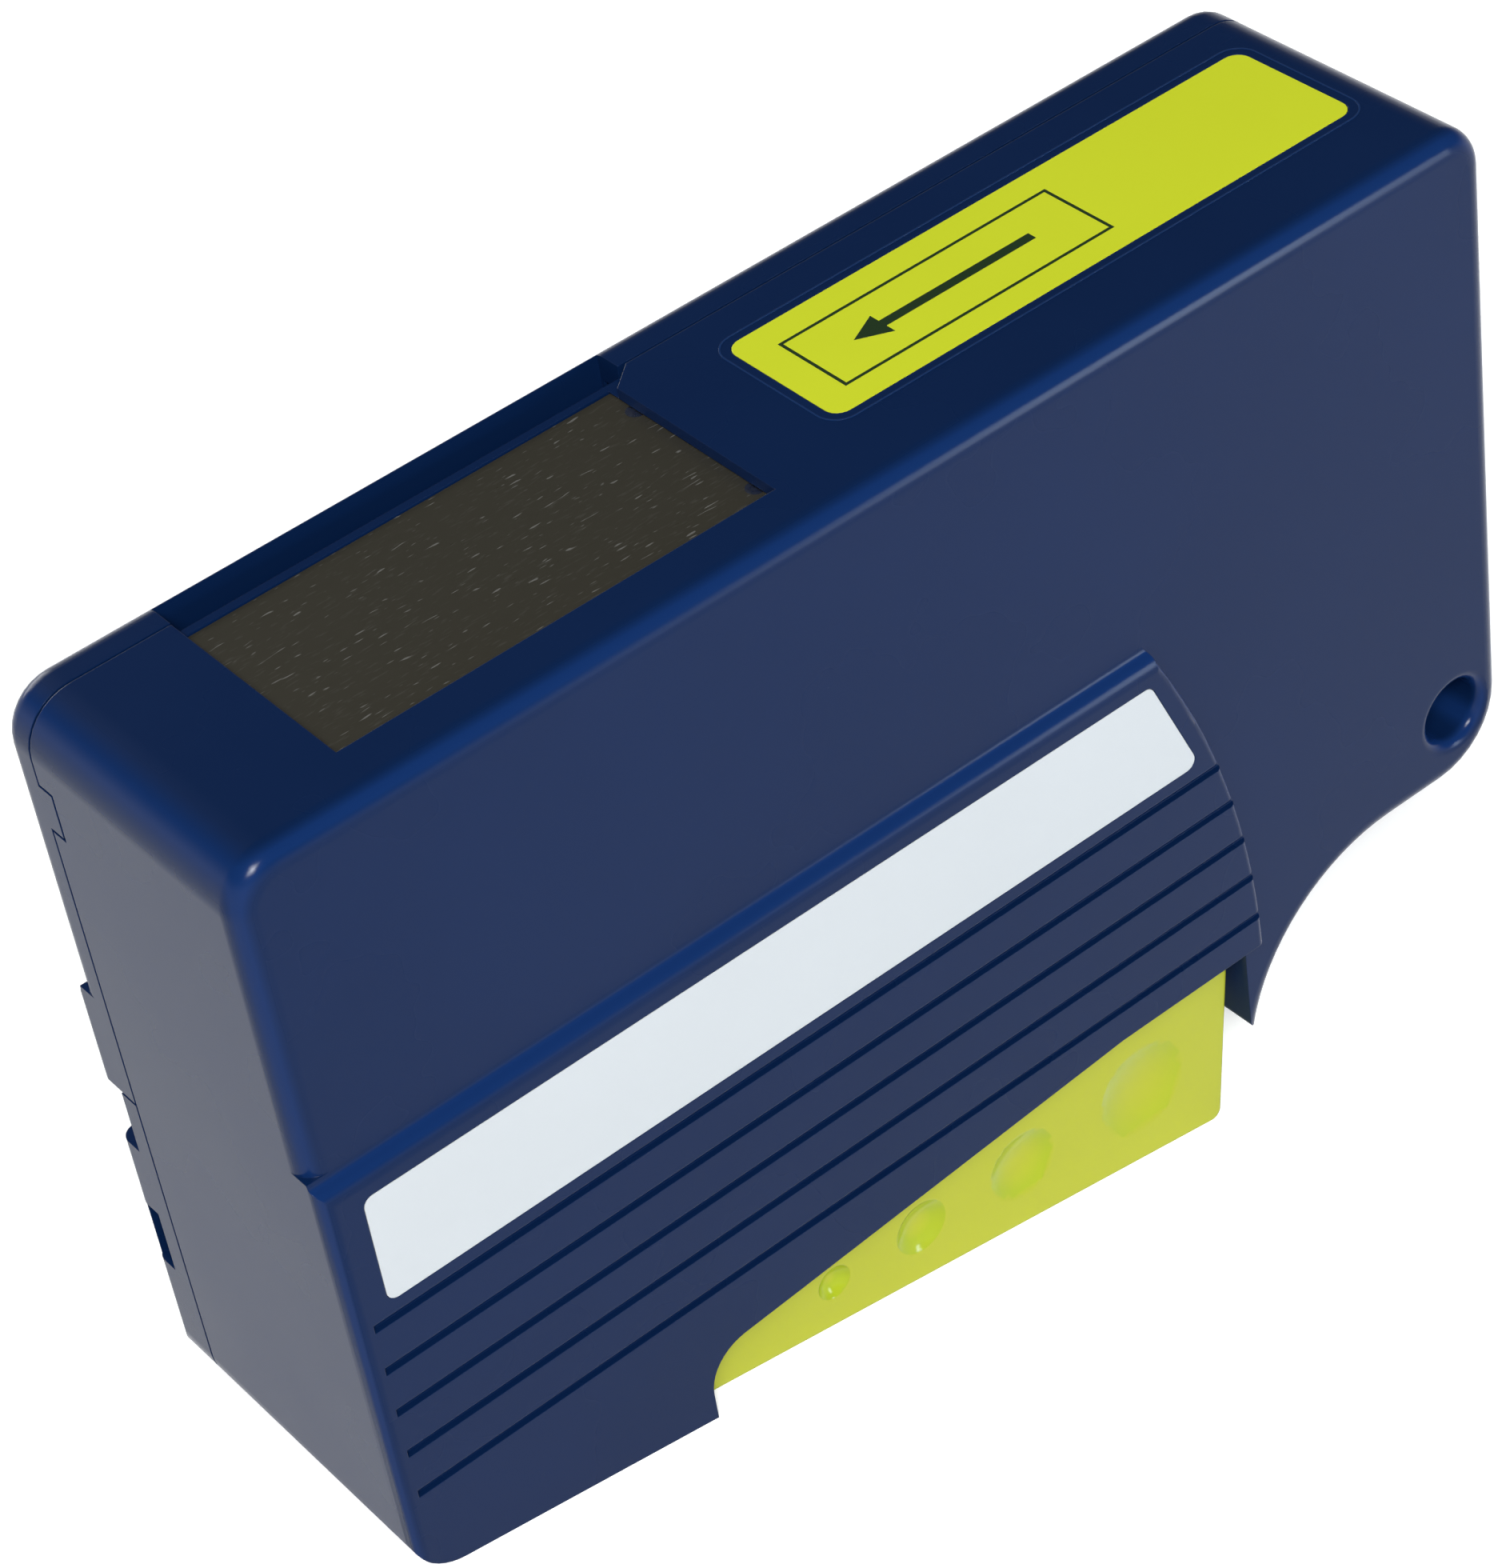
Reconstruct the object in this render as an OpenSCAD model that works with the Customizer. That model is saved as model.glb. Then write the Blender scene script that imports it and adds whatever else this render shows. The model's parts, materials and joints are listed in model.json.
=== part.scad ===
// Reel cleaner for fibre optic connectors, held in the palm and worked by a squeeze lever.
// The case is drawn flat: x runs from its left end, y from its front face to the back,
// and z is zero on its top face. The last step leans it back onto its foot and its lever.

/* [Case] */
// Length of the case
case_l = 130; // [110:1:150]
// Thickness of the case above the grip
case_t = 32.7; // [28:0.1:38]
// Height of the case at its right end
case_h = 69.7; // [60:0.1:80]
// Wall of the case
wall = 2; // [1.7:0.1:2.3]
// Rounding round the edge of the front and back faces
edge_r = 2.2; // [1.2:0.1:3]
// Lean of the case as it stands, in degrees
lean = 9.4; // [8.5:0.1:10]

/* [Grip] */
// How far the grip panels stand proud of the case
grip_raise = 1.3; // [0.8:0.1:1.6]
// Number of grooves across each grip panel
groove_count = 5; // [3:1:5]
// Distance between grooves
groove_pitch = 4.97; // [4:0.1:5]
// Width of a groove
groove_w = 0.9; // [0.5:0.1:1.4]

/* [Lever] */
// Squeeze of the lever, in degrees
lever_travel = 10; // [6:0.5:10]
// Wall of the lever
lever_wall = 1.8; // [1.4:0.1:2]
// Radius of the lever's pivot pin
pivot_pin_r = 1.5; // [1:0.1:1.8]

/* [Window] */
// Length of the opening over the shutter
window_l = 42.6; // [36:0.2:49]
// Depth of the shutter plate below the top face
shutter_drop = 1.2; // [1:0.1:1.4]
// Thickness of the shutter plate
shutter_t = 0.5; // [0.3:0.1:0.5]

/* [Reels] */
// Radius of the reel flanges
reel_r = 16.4; // [14:0.1:19]
// How far the flanges stand above the roll of fresh tape
flange_over = 1.4; // [1:0.1:5]
// Depth of the used tape on its hub
used_roll_t = 2.6; // [1.5:0.1:6]

/* [Gears] */
// Teeth of the ratchet wheel
ratchet_teeth = 24; // [24:12:36]
// Radius of the gear pins
gear_pin_r = 1.2; // [1:0.1:1.5]

/* [Clearances] */
// Radial clearance of a shaft in its bore
run_gap = 0.05; // [0.03:0.01:0.08]
// Gap along the seams between the shells
seam_gap = 0.25; // [0.2:0.05:0.3]
// Gap between parts that pass each other
pass_gap = 0.3; // [0.2:0.05:0.35]

/* [Hidden] */
$fn = 48;
// Facets round a corner that a hull blends
soft_fn = 32;
// Overrun of a cut past the face it opens
cut = 1;
// A stretch longer than the case in any direction
far = 2 * case_l;

// Corners of the case, seen from the front
top_left_r = 4.8;
top_right_r = 4.5;
low_right_r = 8;
// Depth of the rear shells, behind the seam with the front housing
rear_t = 4.3;
seam_y = case_t - rear_t;
// The floor that the foot and the lever stand on, below the case's left end
foot_h = 7.92;
foot_drop = case_h + foot_h;
foot_corner_r = 5.5;
foot_end_x = 31.2;

// The grip panel: a step with a rounded bead, a long curved end and a skirt over the lever
grip_h = 35.7;
grip_top = case_h - grip_h;
bead_r = 2;
bead_hollow_r = 1;
grip_end_r = 89.3;
grip_end_reach = 1.4;
grip_end_low = 3.3;
grip_end_drop = case_h + grip_end_low;
grip_side_r = 1.4;
grip_rim_r = 0.8;
skirt_h = 2.2;
skirt_drop = case_h + skirt_h;
skirt_flat = 16.2;
skirt_slope = 4.3;
skirt_corner_r = 4.5;
groove_rise = 21.4;
first_groove_drop = case_h - groove_rise;
groove_depth = 0.6;
groove_start_x = 1.8;
grip_wall = 1.4;

// The thumb arc that cuts the lower right corner to a hooked tab
thumb_r = 18;
tab_inset = 33.8;
tab_left_x = case_l - tab_inset;
tab_h = 13.3;
tab_tip_drop = case_h + tab_h;
tab_tip_r = 1;
tab_tip_w = 1.625;
tab_wall = 1.8;
thumb_x = tab_left_x + tab_tip_w + sqrt(pow(thumb_r, 2) - pow(thumb_r - tab_h, 2));
grip_end_x = tab_left_x + grip_end_reach;
skirt_flat_x = tab_left_x - skirt_flat;

// Strap hole
strap_r = 3.2;
strap_inset = 6.1;
strap_rise = 7.8;
strap_drop = case_h - strap_rise;
strap_mouth_r = 1.3;
strap_wall = 2;

// Window in the top, the rail behind it and the shutter's channel
window_x = 14.25;
window_y = 5.85;
window_rail = 0.8;
rail_drop = 1;
window_cut_x = 2.9;
window_cut_y = 2.2;
shutter_side = 1.8;
shutter_gap = 0.1;
ledge_gap = 0.45;
rear_ledge_w = 1.5;
ledge_t = 0.7;

// The plate under the shutter, and below it the tape's guides, its pad and the reels
window_plate_t = 0.8;
window_plate_drop = shutter_drop + shutter_t + 2 * shutter_gap + ledge_t;
window_plate_gap = 0.13;
tape_room = 1;
guide_r = 1.5;
guide_drop = window_plate_drop + window_plate_t + tape_room + guide_r;
pad_t = 1.5;
pad_holder_t = 1.3;
reel_gap = 0.4;
reel_top = guide_drop - guide_r + pad_t + pad_holder_t + reel_gap;

// Labels
front_label_x = 3.6;
front_label_below = 0.96;
front_label_top = grip_top + front_label_below;
front_label_h = 11.6;
front_label_end = 6;
front_label_slant = 4.6;
front_label_low_l = grip_end_x - front_label_x - front_label_end;
front_label_top_l = front_label_low_l - front_label_slant;
front_label_r = 1;
label_t = 0.25;
top_label_gap = 9.25;
top_label_end = 6;
top_label_x = window_x + window_l + top_label_gap;
top_label_l = case_l - top_label_end - top_label_x;
top_label_y = 9.35;
top_label_back = 4.55;
top_label_w = seam_y - top_label_back - top_label_y;
top_label_r = 1.5;
label_gap = 0.05;

// The door: its foot edge, its hinge in the finger groove and its tongues
// How far the door's lower edge is below the reels
door_lap = 1.9;
door_drop = 2 * reel_r + reel_top + door_lap;
door_skin = 1.6;
door_top = 2.6;
door_rim = 1.2;
finger_below = 7.2;
finger_drop = door_drop + finger_below;
finger_depth = 1.85;
finger_y = case_t - finger_depth;
hinge_depth = 0.8;
hinge_y = case_t - hinge_depth;
hinge_below = 2.7;
hinge_drop = door_drop + hinge_below;
hinge_r = 1.9;
hinge_pin_r = 1;
hinge_inset = 22;
knuckle_w = 9;
side_knuckle_w = 4;
knuckle_gap = 0.2;
tongue_top = 7.6;
tongue_h = 4.3;
tongue_t = 1.2;
tongue_reach = 1.6;
latch_below = 14.8;
latch_top = door_drop + latch_below;
latch_h = 6.9;
latch_in = 1.8;
latch_y = case_t - latch_in;
latch_w = 2.6;
latch_depth = 1.6;

// Lever and its pivot
pivot_x = 20;
pivot_h = 1.3;
pivot_drop = case_h + pivot_h;
// The spring's coil runs round the pin, inside the lever's boss
coil_clear = 0.25;
coil_r = pivot_pin_r + coil_clear;
coil_wire = 0.8;
coil_room = 0.65;
lever_boss_r = coil_r + coil_wire + lever_wall + coil_room;
lever_heel_gap = 0.6;
lever_heel_x = foot_end_x + lever_heel_gap;
lever_heel_rise = 0.42;
lever_heel_drop = foot_drop - lever_heel_rise;
lever_right_gap = 1.1;
lever_right_x = tab_left_x - lever_right_gap;
lever_nose = 2.2;
lever_nose_x = lever_right_x - lever_nose;
lever_lap = 2.4;
lever_top_drop = skirt_drop - lever_lap;
lever_notch_h = 3;
lever_notch_drop = lever_top_drop + lever_notch_h;
lever_corner_r = 1;
lever_side = 1.7;
lever_tube_l = 2.5;
pin_seat = 1.2;
dimple_depth = 0.9;
// Along the lever, up from the floor and across, as shares of the part of the lever that shows
dimple_x_shares = [0.25, 0.408, 0.596, 0.825];
dimple_z_shares = [0.455, 0.452, 0.433, 0.439];
dimple_r_shares = [0.163, 0.211, 0.238, 0.265];

// Gear train: tooth size, layers from the front, and where each wheel stands
gear_module = 1;
pressure = 25;
addendum = 0.85;
dedendum = 1.1;
backlash = 0.1;
front_room = 2;
layer_gap = 0.4;
layer_a = wall + front_room;
layer_a_t = 3;
layer_b = layer_a + layer_a_t + layer_gap;
layer_b_t = 2.2;
plate_y = layer_b + layer_b_t + layer_gap;
plate_t = 1.2;
boss_gap = 0.3;
boss_wall = 1.8;
rack_back = 4;
rack_foot = 6.5;
idler_most_teeth = 20;
idler_room = 4.85;
drive_teeth = 36;
shutter_pinion_teeth = 12;
shutter_wheel_teeth = 24;
takeup_inset = 26;
takeup_x = case_l - takeup_inset;
takeup_drop = reel_r + reel_top;
supply_left = 19.6;
supply_x = reel_r + supply_left;
web_t = 1.4;
rim_w = 2.2;
hub_wall = 2;

// Ratchet and its two pawls
ratchet_r = 8;
ratchet_depth = 1;
pawl_pivot_r = 13;
pawl_sweep = 37;
pawl_pin_r = 1;
pawl_boss_r = 2;
pawl_tip_w = 0.9;
pawl_lift = 0.1;
pawl_t = 1.8;
drive_pawl_angle = -95;
holding_pawl_angle = 25;
pawl_spring_t = 0.25;
pawl_post_r = 0.9;
pawl_post_at = 15.2;
pawl_post_sweep = 62;
pawl_touch_r = 12.6;
pawl_touch_sweep = 31;
pawl_arm_share = 0.8;
pawl_hook = 5;
tooth_undercut = 0.01;

// Spindles and reels
spindle_r = 3;
spindle_seat = 1.2;
spline_r = 4;
spline_count = 6;
spline_w = 1.6;
spline_root_r = 3.2;
hub_r = 6.4;
flange_t = 1;
flange_window_r = 2.9;
flange_window_at = 11.5;
flange_window_count = 5;
post_r = 4;
post_shoulder_r = 6.5;
brake_t = 1.5;
brake_gap = 0.1;

// Tape cartridge
frame_gap = 0.3;
frame_t = 0.9;
frame_left = 5;
frame_side = 2.8;
frame_right = takeup_x + reel_r + frame_side;
frame_top = 3.7;
frame_low = takeup_drop + reel_r;
frame_corner_r = 4;
frame_hole_r = 8;
rear_room = 0.76;
frame_post_r = 1.8;
guide_before = 4.25;
guide_past = 4.65;
guide_left_x = window_x - guide_before;
guide_right_x = window_x + window_l + guide_past;
tape_t = 0.15;
tape_gap = 0.12;
pad_start = 1.75;
pad_end = 1.85;
pad_left = window_x + pad_start;
pad_right = window_x + window_l - pad_end;
pad_margin = 1.5;
slot_w = 5;
slot_l = 15;
slot_inset = 2.5;

// Shutter slide
slide_bar_w = 7.5;
slide_t = 0.65;
rack_bar_t = 1.8;
rack_bar_h = 1.7;
rack_end_teeth = 1.5;
rivet_r = 0.9;
rivet_head_r = 1.5;
rivet_head_t = 0.25;

// Screws
screw_r = 1.1;
screw_head_r = 2.1;
screw_head_t = 1.4;
screw_sink = 0.4;
screw_l = 9;
screw_hex = 1.5;
boss_r = 3;
small_screw_r = 0.9;
small_head_r = 1.7;
small_head_t = 1;
small_screw_l = 5;
small_boss_r = 2.4;
// Places of the screws of the shells: three in a row below the door and one in the tab
screw_inset = 9;
mid_screw_past = 18.8;
tab_screw_in = 4.4;
tab_screw_low = 1.3;
// Places of the inner plate's screws
plate_screw_back = 19.8;
plate_screw_drop = 6.8;
plate_screw_rise = 2.9;
corner_screw_inset = 4.6;
corner_screw_drop = 4.3;
corner_screw_rise = 0.9;
foot_screw_inset = 15;
foot_screw_rise = 6.2;

// Lever spring: a torsion coil round the pivot pin with two legs
coil_turns = 6.5;
coil_pitch = 1.1;
leg_end_gap = 0.5;
leg_past = 1.8;
leg_back = pivot_x - wall - leg_end_gap;
leg_out = foot_end_x - pivot_x + leg_past;
leg_lift = 0.1;
leg_fall = lever_heel_drop - pivot_drop - coil_r - coil_wire - lever_wall - leg_lift;
leg_ledge = 2.5;
wire_sides = 6;
coil_steps = 10;

function at(c, r, a) = c + r * [cos(a), sin(a)];
function floor_z(x) = -foot_drop - tan(lean) * x;
function skirt_z(x) = -skirt_drop - max(0, skirt_flat_x - x) * tan(skirt_slope);

// Centres of the wheels, in x and z
pivot = [pivot_x, -pivot_drop];
takeup = [takeup_x, -takeup_drop];
supply = [supply_x, -takeup_drop];
function pitch_r(teeth) = teeth * gear_module / 2;
function tip_r(teeth) = pitch_r(teeth) + addendum;
function root_r(teeth) = pitch_r(teeth) - dedendum;
// The point at distance ra from a and rb from b, on the right hand going from a to b
function meet(a, ra, b, rb) = let(d = norm(b - a), u = (b - a) / d,
    s = (ra * ra - rb * rb + d * d) / (2 * d), h = sqrt(ra * ra - s * s)) a + s * u + h * [u[1], -u[0]];
function heading(a, b) = atan2(b[1] - a[1], b[0] - a[0]);
// The idler has as many teeth as the room below the drive gear allows
idler_teeth = min(idler_most_teeth,
    floor((case_h - wall - idler_room - addendum - pitch_r(drive_teeth) - takeup_drop) / gear_module));
// Teeth that a whole wheel of the lever's sector would have, as large as the lever
sector_teeth = 2 * floor((lever_right_x - pivot_x) / gear_module);
idler = meet(pivot, pitch_r(sector_teeth) + pitch_r(idler_teeth),
    takeup, pitch_r(drive_teeth) + pitch_r(idler_teeth));
// The shutter's gear hangs below its rack and meshes with the drive gear
rack_root_z = -shutter_drop - shutter_t - slide_t - rack_bar_h;
shutter_reach = pitch_r(drive_teeth) + pitch_r(shutter_pinion_teeth);
shutter_axle_z = rack_root_z - dedendum - pitch_r(shutter_wheel_teeth);
shutter_axle = [takeup_x - sqrt(pow(shutter_reach, 2) - pow(shutter_axle_z + takeup_drop, 2)),
    shutter_axle_z];
// The turn of a wheel that meshes with another at a known turn
function mesh_turn(a, teeth_a, turn_a, b, teeth_b) = heading(a, b) + 180
    + (heading(a, b) - turn_a) * teeth_a / teeth_b - 180 / teeth_b;
idler_turn = mesh_turn(pivot, sector_teeth, 0, idler, idler_teeth);
drive_turn = mesh_turn(idler, idler_teeth, idler_turn, takeup, drive_teeth);
shutter_turn = mesh_turn(takeup, drive_teeth, drive_turn, shutter_axle, shutter_pinion_teeth);
lever_to_shutter = sector_teeth / shutter_pinion_teeth;
shutter_travel = lever_travel * PI / 180 * lever_to_shutter * pitch_r(shutter_wheel_teeth);

// The strip of the case that each layer of the mechanism takes
cartridge_y = plate_y + plate_t + frame_gap;
reel_y = cartridge_y + frame_t + reel_gap;
rear_frame_y = case_t - door_skin - rear_room - frame_t;
reel_w = rear_frame_y - reel_gap - reel_y;
tape_y = reel_y + flange_t + tape_gap;
tape_w = reel_w - 2 * flange_t - 2 * tape_gap;
supply_roll_r = reel_r - flange_over;
used_roll_r = hub_r + used_roll_t;
tape_z = -guide_drop + guide_r + tape_gap + tape_t / 2;
lever_y = [lever_side, case_t - lever_side];

// Bounds of the standing case, for the origin at the middle of its base
stand_left = top_left_r * (cos(lean) + sin(lean) - 1);
stand_right = (case_l - low_right_r) * cos(lean) + (case_h - low_right_r) * sin(lean) + low_right_r;
stand_middle = (stand_left + stand_right) / 2;

// Leans the flat case back onto its floor and moves the origin to the middle of its base
module stand() {
    translate([-stand_middle, -case_t / 2, foot_drop * cos(lean)]) rotate([0, -lean, 0]) children();
}

// Turns a front view, drawn in x and z, into a solid from y0 to y1
module along_y(y0, y1) {
    translate([0, y1, 0]) rotate([90, 0, 0]) linear_extrude(y1 - y0) children();
}

// Turns an end view, drawn in y and z, into a solid from x0 to x1
module along_x(x0, x1) {
    translate([x0, 0, 0]) rotate([90, 0, 90]) linear_extrude(x1 - x0) children();
}

module along_z(z0, z1) {
    translate([0, 0, z0]) linear_extrude(z1 - z0) children();
}

// A round rod or bore along y at a point of the front view
module rod(c, r, y0, y1) {
    translate([c[0], y1, c[1]]) rotate([90, 0, 0]) cylinder(r = r, h = y1 - y0);
}

module block(x, y, z) {
    translate([x[0], y[0], z[0]]) cube([x[1] - x[0], y[1] - y[0], z[1] - z[0]]);
}

// The same form on the back of the case
module on_back() {
    translate([0, case_t, 0]) mirror([0, 1, 0]) children();
}

// A disc along y whose front rim is rounded
module puck(c, r, y0, y1, round_r) {
    translate([c[0], y0, c[1]]) rotate([-90, 0, 0]) rotate_extrude($fn = soft_fn) {
        square([r - round_r, y1 - y0]);
        translate([0, round_r]) square([r, y1 - y0 - round_r]);
        translate([r - round_r, round_r]) intersection() {
            circle(round_r);
            translate([0, -round_r]) square(2 * round_r);
        }
    }
}

// Corner points of a convex outline, drawn anticlockwise, with its corners rounded
function rounded(p, rs, steps = 6) = [for (i = [0:len(p) - 1]) let(
    r = is_list(rs) ? rs[i] : rs, a = p[(i + len(p) - 1) % len(p)] - p[i], b = p[(i + 1) % len(p)] - p[i],
    ua = a / norm(a), ub = b / norm(b), half = acos(ua * ub) / 2,
    c = p[i] + (ua + ub) / norm(ua + ub) * r / sin(half),
    from = atan2(ua[0], -ua[1]), sweep = 180 - 2 * half)
    for (k = [0:r > 0 ? steps : 0]) at(c, r, from + sweep * k / steps)];

// Outer form of the case in front of its middle
module case_body() {
    hull() {
        puck([top_left_r, -top_left_r], top_left_r, 0, seam_y, edge_r);
        puck([case_l - top_right_r, -top_right_r], top_right_r, 0, seam_y, edge_r);
        puck([case_l - low_right_r, low_right_r - case_h], low_right_r, 0, seam_y, edge_r);
        puck([low_right_r, low_right_r - case_h], low_right_r, 0, seam_y, edge_r);
    }
}

// Front view of the grip panel and the foot below it
module grip_face() {
    foot_c = [foot_corner_r, floor_z(foot_corner_r * (1 - sin(lean))) + foot_corner_r * cos(lean)];
    foot_touch = foot_c - foot_corner_r * [sin(lean), cos(lean)];
    polygon([[0, 0], [0, foot_c[1]], foot_c, foot_touch, [far, floor_z(far)], [far, 0]]);
    translate(foot_c) circle(foot_corner_r);
}

// Front view of the gap that the lever hangs in
module lever_gap(right = tab_left_x) {
    c_x = foot_end_x + skirt_corner_r;
    touch_x = c_x - skirt_corner_r * sin(skirt_slope);
    touch = [touch_x, skirt_z(touch_x)];
    c = [c_x, touch[1] - skirt_corner_r * cos(skirt_slope)];
    polygon([[foot_end_x, -far], [right, -far], [right, -skirt_drop], [skirt_flat_x, -skirt_drop],
        touch, c, [foot_end_x, c[1]]]);
    translate(c) circle(skirt_corner_r);
}

// End view of the grip panel, with the bead that rounds its step
module grip_side() {
    bead_c = [bead_r - grip_raise, -grip_top];
    reach = bead_r + bead_hollow_r;
    hollow = [-bead_hollow_r, -grip_top + sqrt(pow(reach, 2) - pow(bead_c[0] + bead_hollow_r, 2))];
    translate([-grip_raise, -far]) square([seam_y + grip_raise, far - grip_top]);
    translate(bead_c) circle(bead_r);
    difference() {
        polygon([bead_c, hollow, [0, hollow[1]], [seam_y, hollow[1]], [seam_y, -grip_top]]);
        translate(hollow) circle(bead_hollow_r);
    }
}

// Disc whose rim is the curved right end of the grip panel
module grip_end() {
    translate([grip_end_x - grip_end_r, -grip_raise, -grip_end_drop]) rotate([-90, 0, 0])
        rotate_extrude($fn = 2 * soft_fn) {
            square([grip_end_r - grip_rim_r, seam_y + grip_raise]);
            translate([0, grip_rim_r]) square([grip_end_r, seam_y + grip_raise - grip_rim_r]);
            translate([grip_end_r - grip_rim_r, grip_rim_r]) intersection() {
                circle(grip_rim_r);
                translate([0, -grip_rim_r]) square(2 * grip_rim_r);
            }
        }
}

// The raised grip panel and foot, in front of the middle of the case
module grip_body() {
    intersection() {
        along_x(0, grip_end_x) grip_side();
        grip_end();
        along_y(-grip_raise, seam_y) grip_face();
        along_z(-far, 0) {
            translate([grip_side_r, -grip_raise]) square([far, seam_y + grip_raise]);
            translate([0, grip_side_r - grip_raise]) square([far, seam_y + grip_raise - grip_side_r]);
            translate([grip_side_r, grip_side_r - grip_raise]) circle(grip_side_r);
        }
    }
}

// Front view of the hooked tab between the lever and the thumb arc
module tab_face() {
    thumb_c = [thumb_x, -case_h - thumb_r];
    tip_c = [tab_left_x + tab_tip_r, tab_tip_r - tab_tip_drop];
    arc_x = thumb_x - sqrt(pow(thumb_r, 2) - pow(tip_c[1] - thumb_c[1], 2));
    translate(tip_c) circle(tab_tip_r);
    difference() {
        polygon([[tab_left_x, -case_h + edge_r], [thumb_x, -case_h + edge_r], [thumb_x, -case_h],
            [arc_x, tip_c[1]], [tab_left_x, tip_c[1]]]);
        translate(thumb_c) circle(thumb_r, $fn = 4 * soft_fn);
    }
}

// Cutter that rounds the front rim of the thumb arc, as the edges of the case are rounded
module thumb_rim() {
    translate([thumb_x, 0, -case_h - thumb_r]) rotate([-90, 0, 0])
        rotate_extrude($fn = 4 * soft_fn) difference() {
        translate([thumb_r - cut, -cut]) square(edge_r + cut);
        translate([thumb_r + edge_r, edge_r]) circle(edge_r);
    }
}

// The whole outer form of the front half, used mirrored for the back
module half_case() {
    difference() {
        union() {
            case_body();
            difference() {
                grip_body();
                along_y(-far, far) lever_gap(far);
            }
        }
        along_y(-far, far) lever_gap();
    }
    difference() {
        along_y(0, seam_y) tab_face();
        thumb_rim();
    }
}

// The grooves that run across the grip panel to its curved end
module grip_grooves() {
    for (i = [0:groove_count - 1]) {
        z = -first_groove_drop - i * groove_pitch;
        end = grip_end_x - grip_end_r + sqrt(pow(grip_end_r, 2) - pow(z + grip_end_drop, 2));
        block([groove_start_x, end + cut], [-grip_raise - cut, groove_depth - grip_raise],
            [z - groove_w / 2, z + groove_w / 2]);
    }
}

// Front view of the hollow of the case
module case_room(top = -wall) {
    polygon(rounded([[wall, wall - case_h], [case_l - wall, wall - case_h], [case_l - wall, top],
        [wall, top]],
        [low_right_r - wall, low_right_r - wall, top_right_r - wall, top_left_r - wall]));
}

// Front view of the space inside the lower case, where the lever swings
module lever_room() {
    room_right = tab_left_x + tab_wall - wall;
    polygon([[wall, -door_drop - wall], [room_right, -door_drop - wall], [room_right, -far],
        [foot_end_x, -far], [foot_end_x, -lever_heel_drop - pass_gap - wall],
        [foot_end_x - wall, -lever_heel_drop - pass_gap - wall],
        [foot_end_x - wall, floor_z(foot_end_x - wall) + wall],
        [foot_corner_r, floor_z(foot_corner_r) + wall],
        [wall, floor_z(0) + foot_corner_r]]);
}

strap = [case_l - strap_inset, -strap_drop];

// Through bore for the strap, with a rounded mouth on the front face
module strap_bore() {
    rod(strap, strap_r, -far, far);
    translate([strap[0], 0, strap[1]]) rotate([-90, 0, 0]) rotate_extrude() difference() {
        square([strap_r + strap_mouth_r, strap_mouth_r]);
        translate([strap_r + strap_mouth_r, strap_mouth_r]) circle(strap_mouth_r);
    }
}

// Places of the screws, in x and z
screw_drop = (door_drop + case_h) / 2;
housing_screw_at = [[screw_inset, -screw_drop], [foot_end_x + mid_screw_past, -screw_drop],
    [case_l - screw_inset, -screw_drop], [tab_left_x + tab_screw_in, -case_h - tab_screw_low]];
plate_screw_x = shutter_axle[0] - plate_screw_back;
inner_screw_at = [[plate_screw_x, -frame_top - plate_screw_drop],
    [plate_screw_x, plate_screw_rise - frame_low],
    [case_l - corner_screw_inset, -frame_top - corner_screw_drop],
    [case_l - corner_screw_inset, corner_screw_rise - frame_low],
    [case_l - foot_screw_inset, foot_screw_rise - case_h]];

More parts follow.
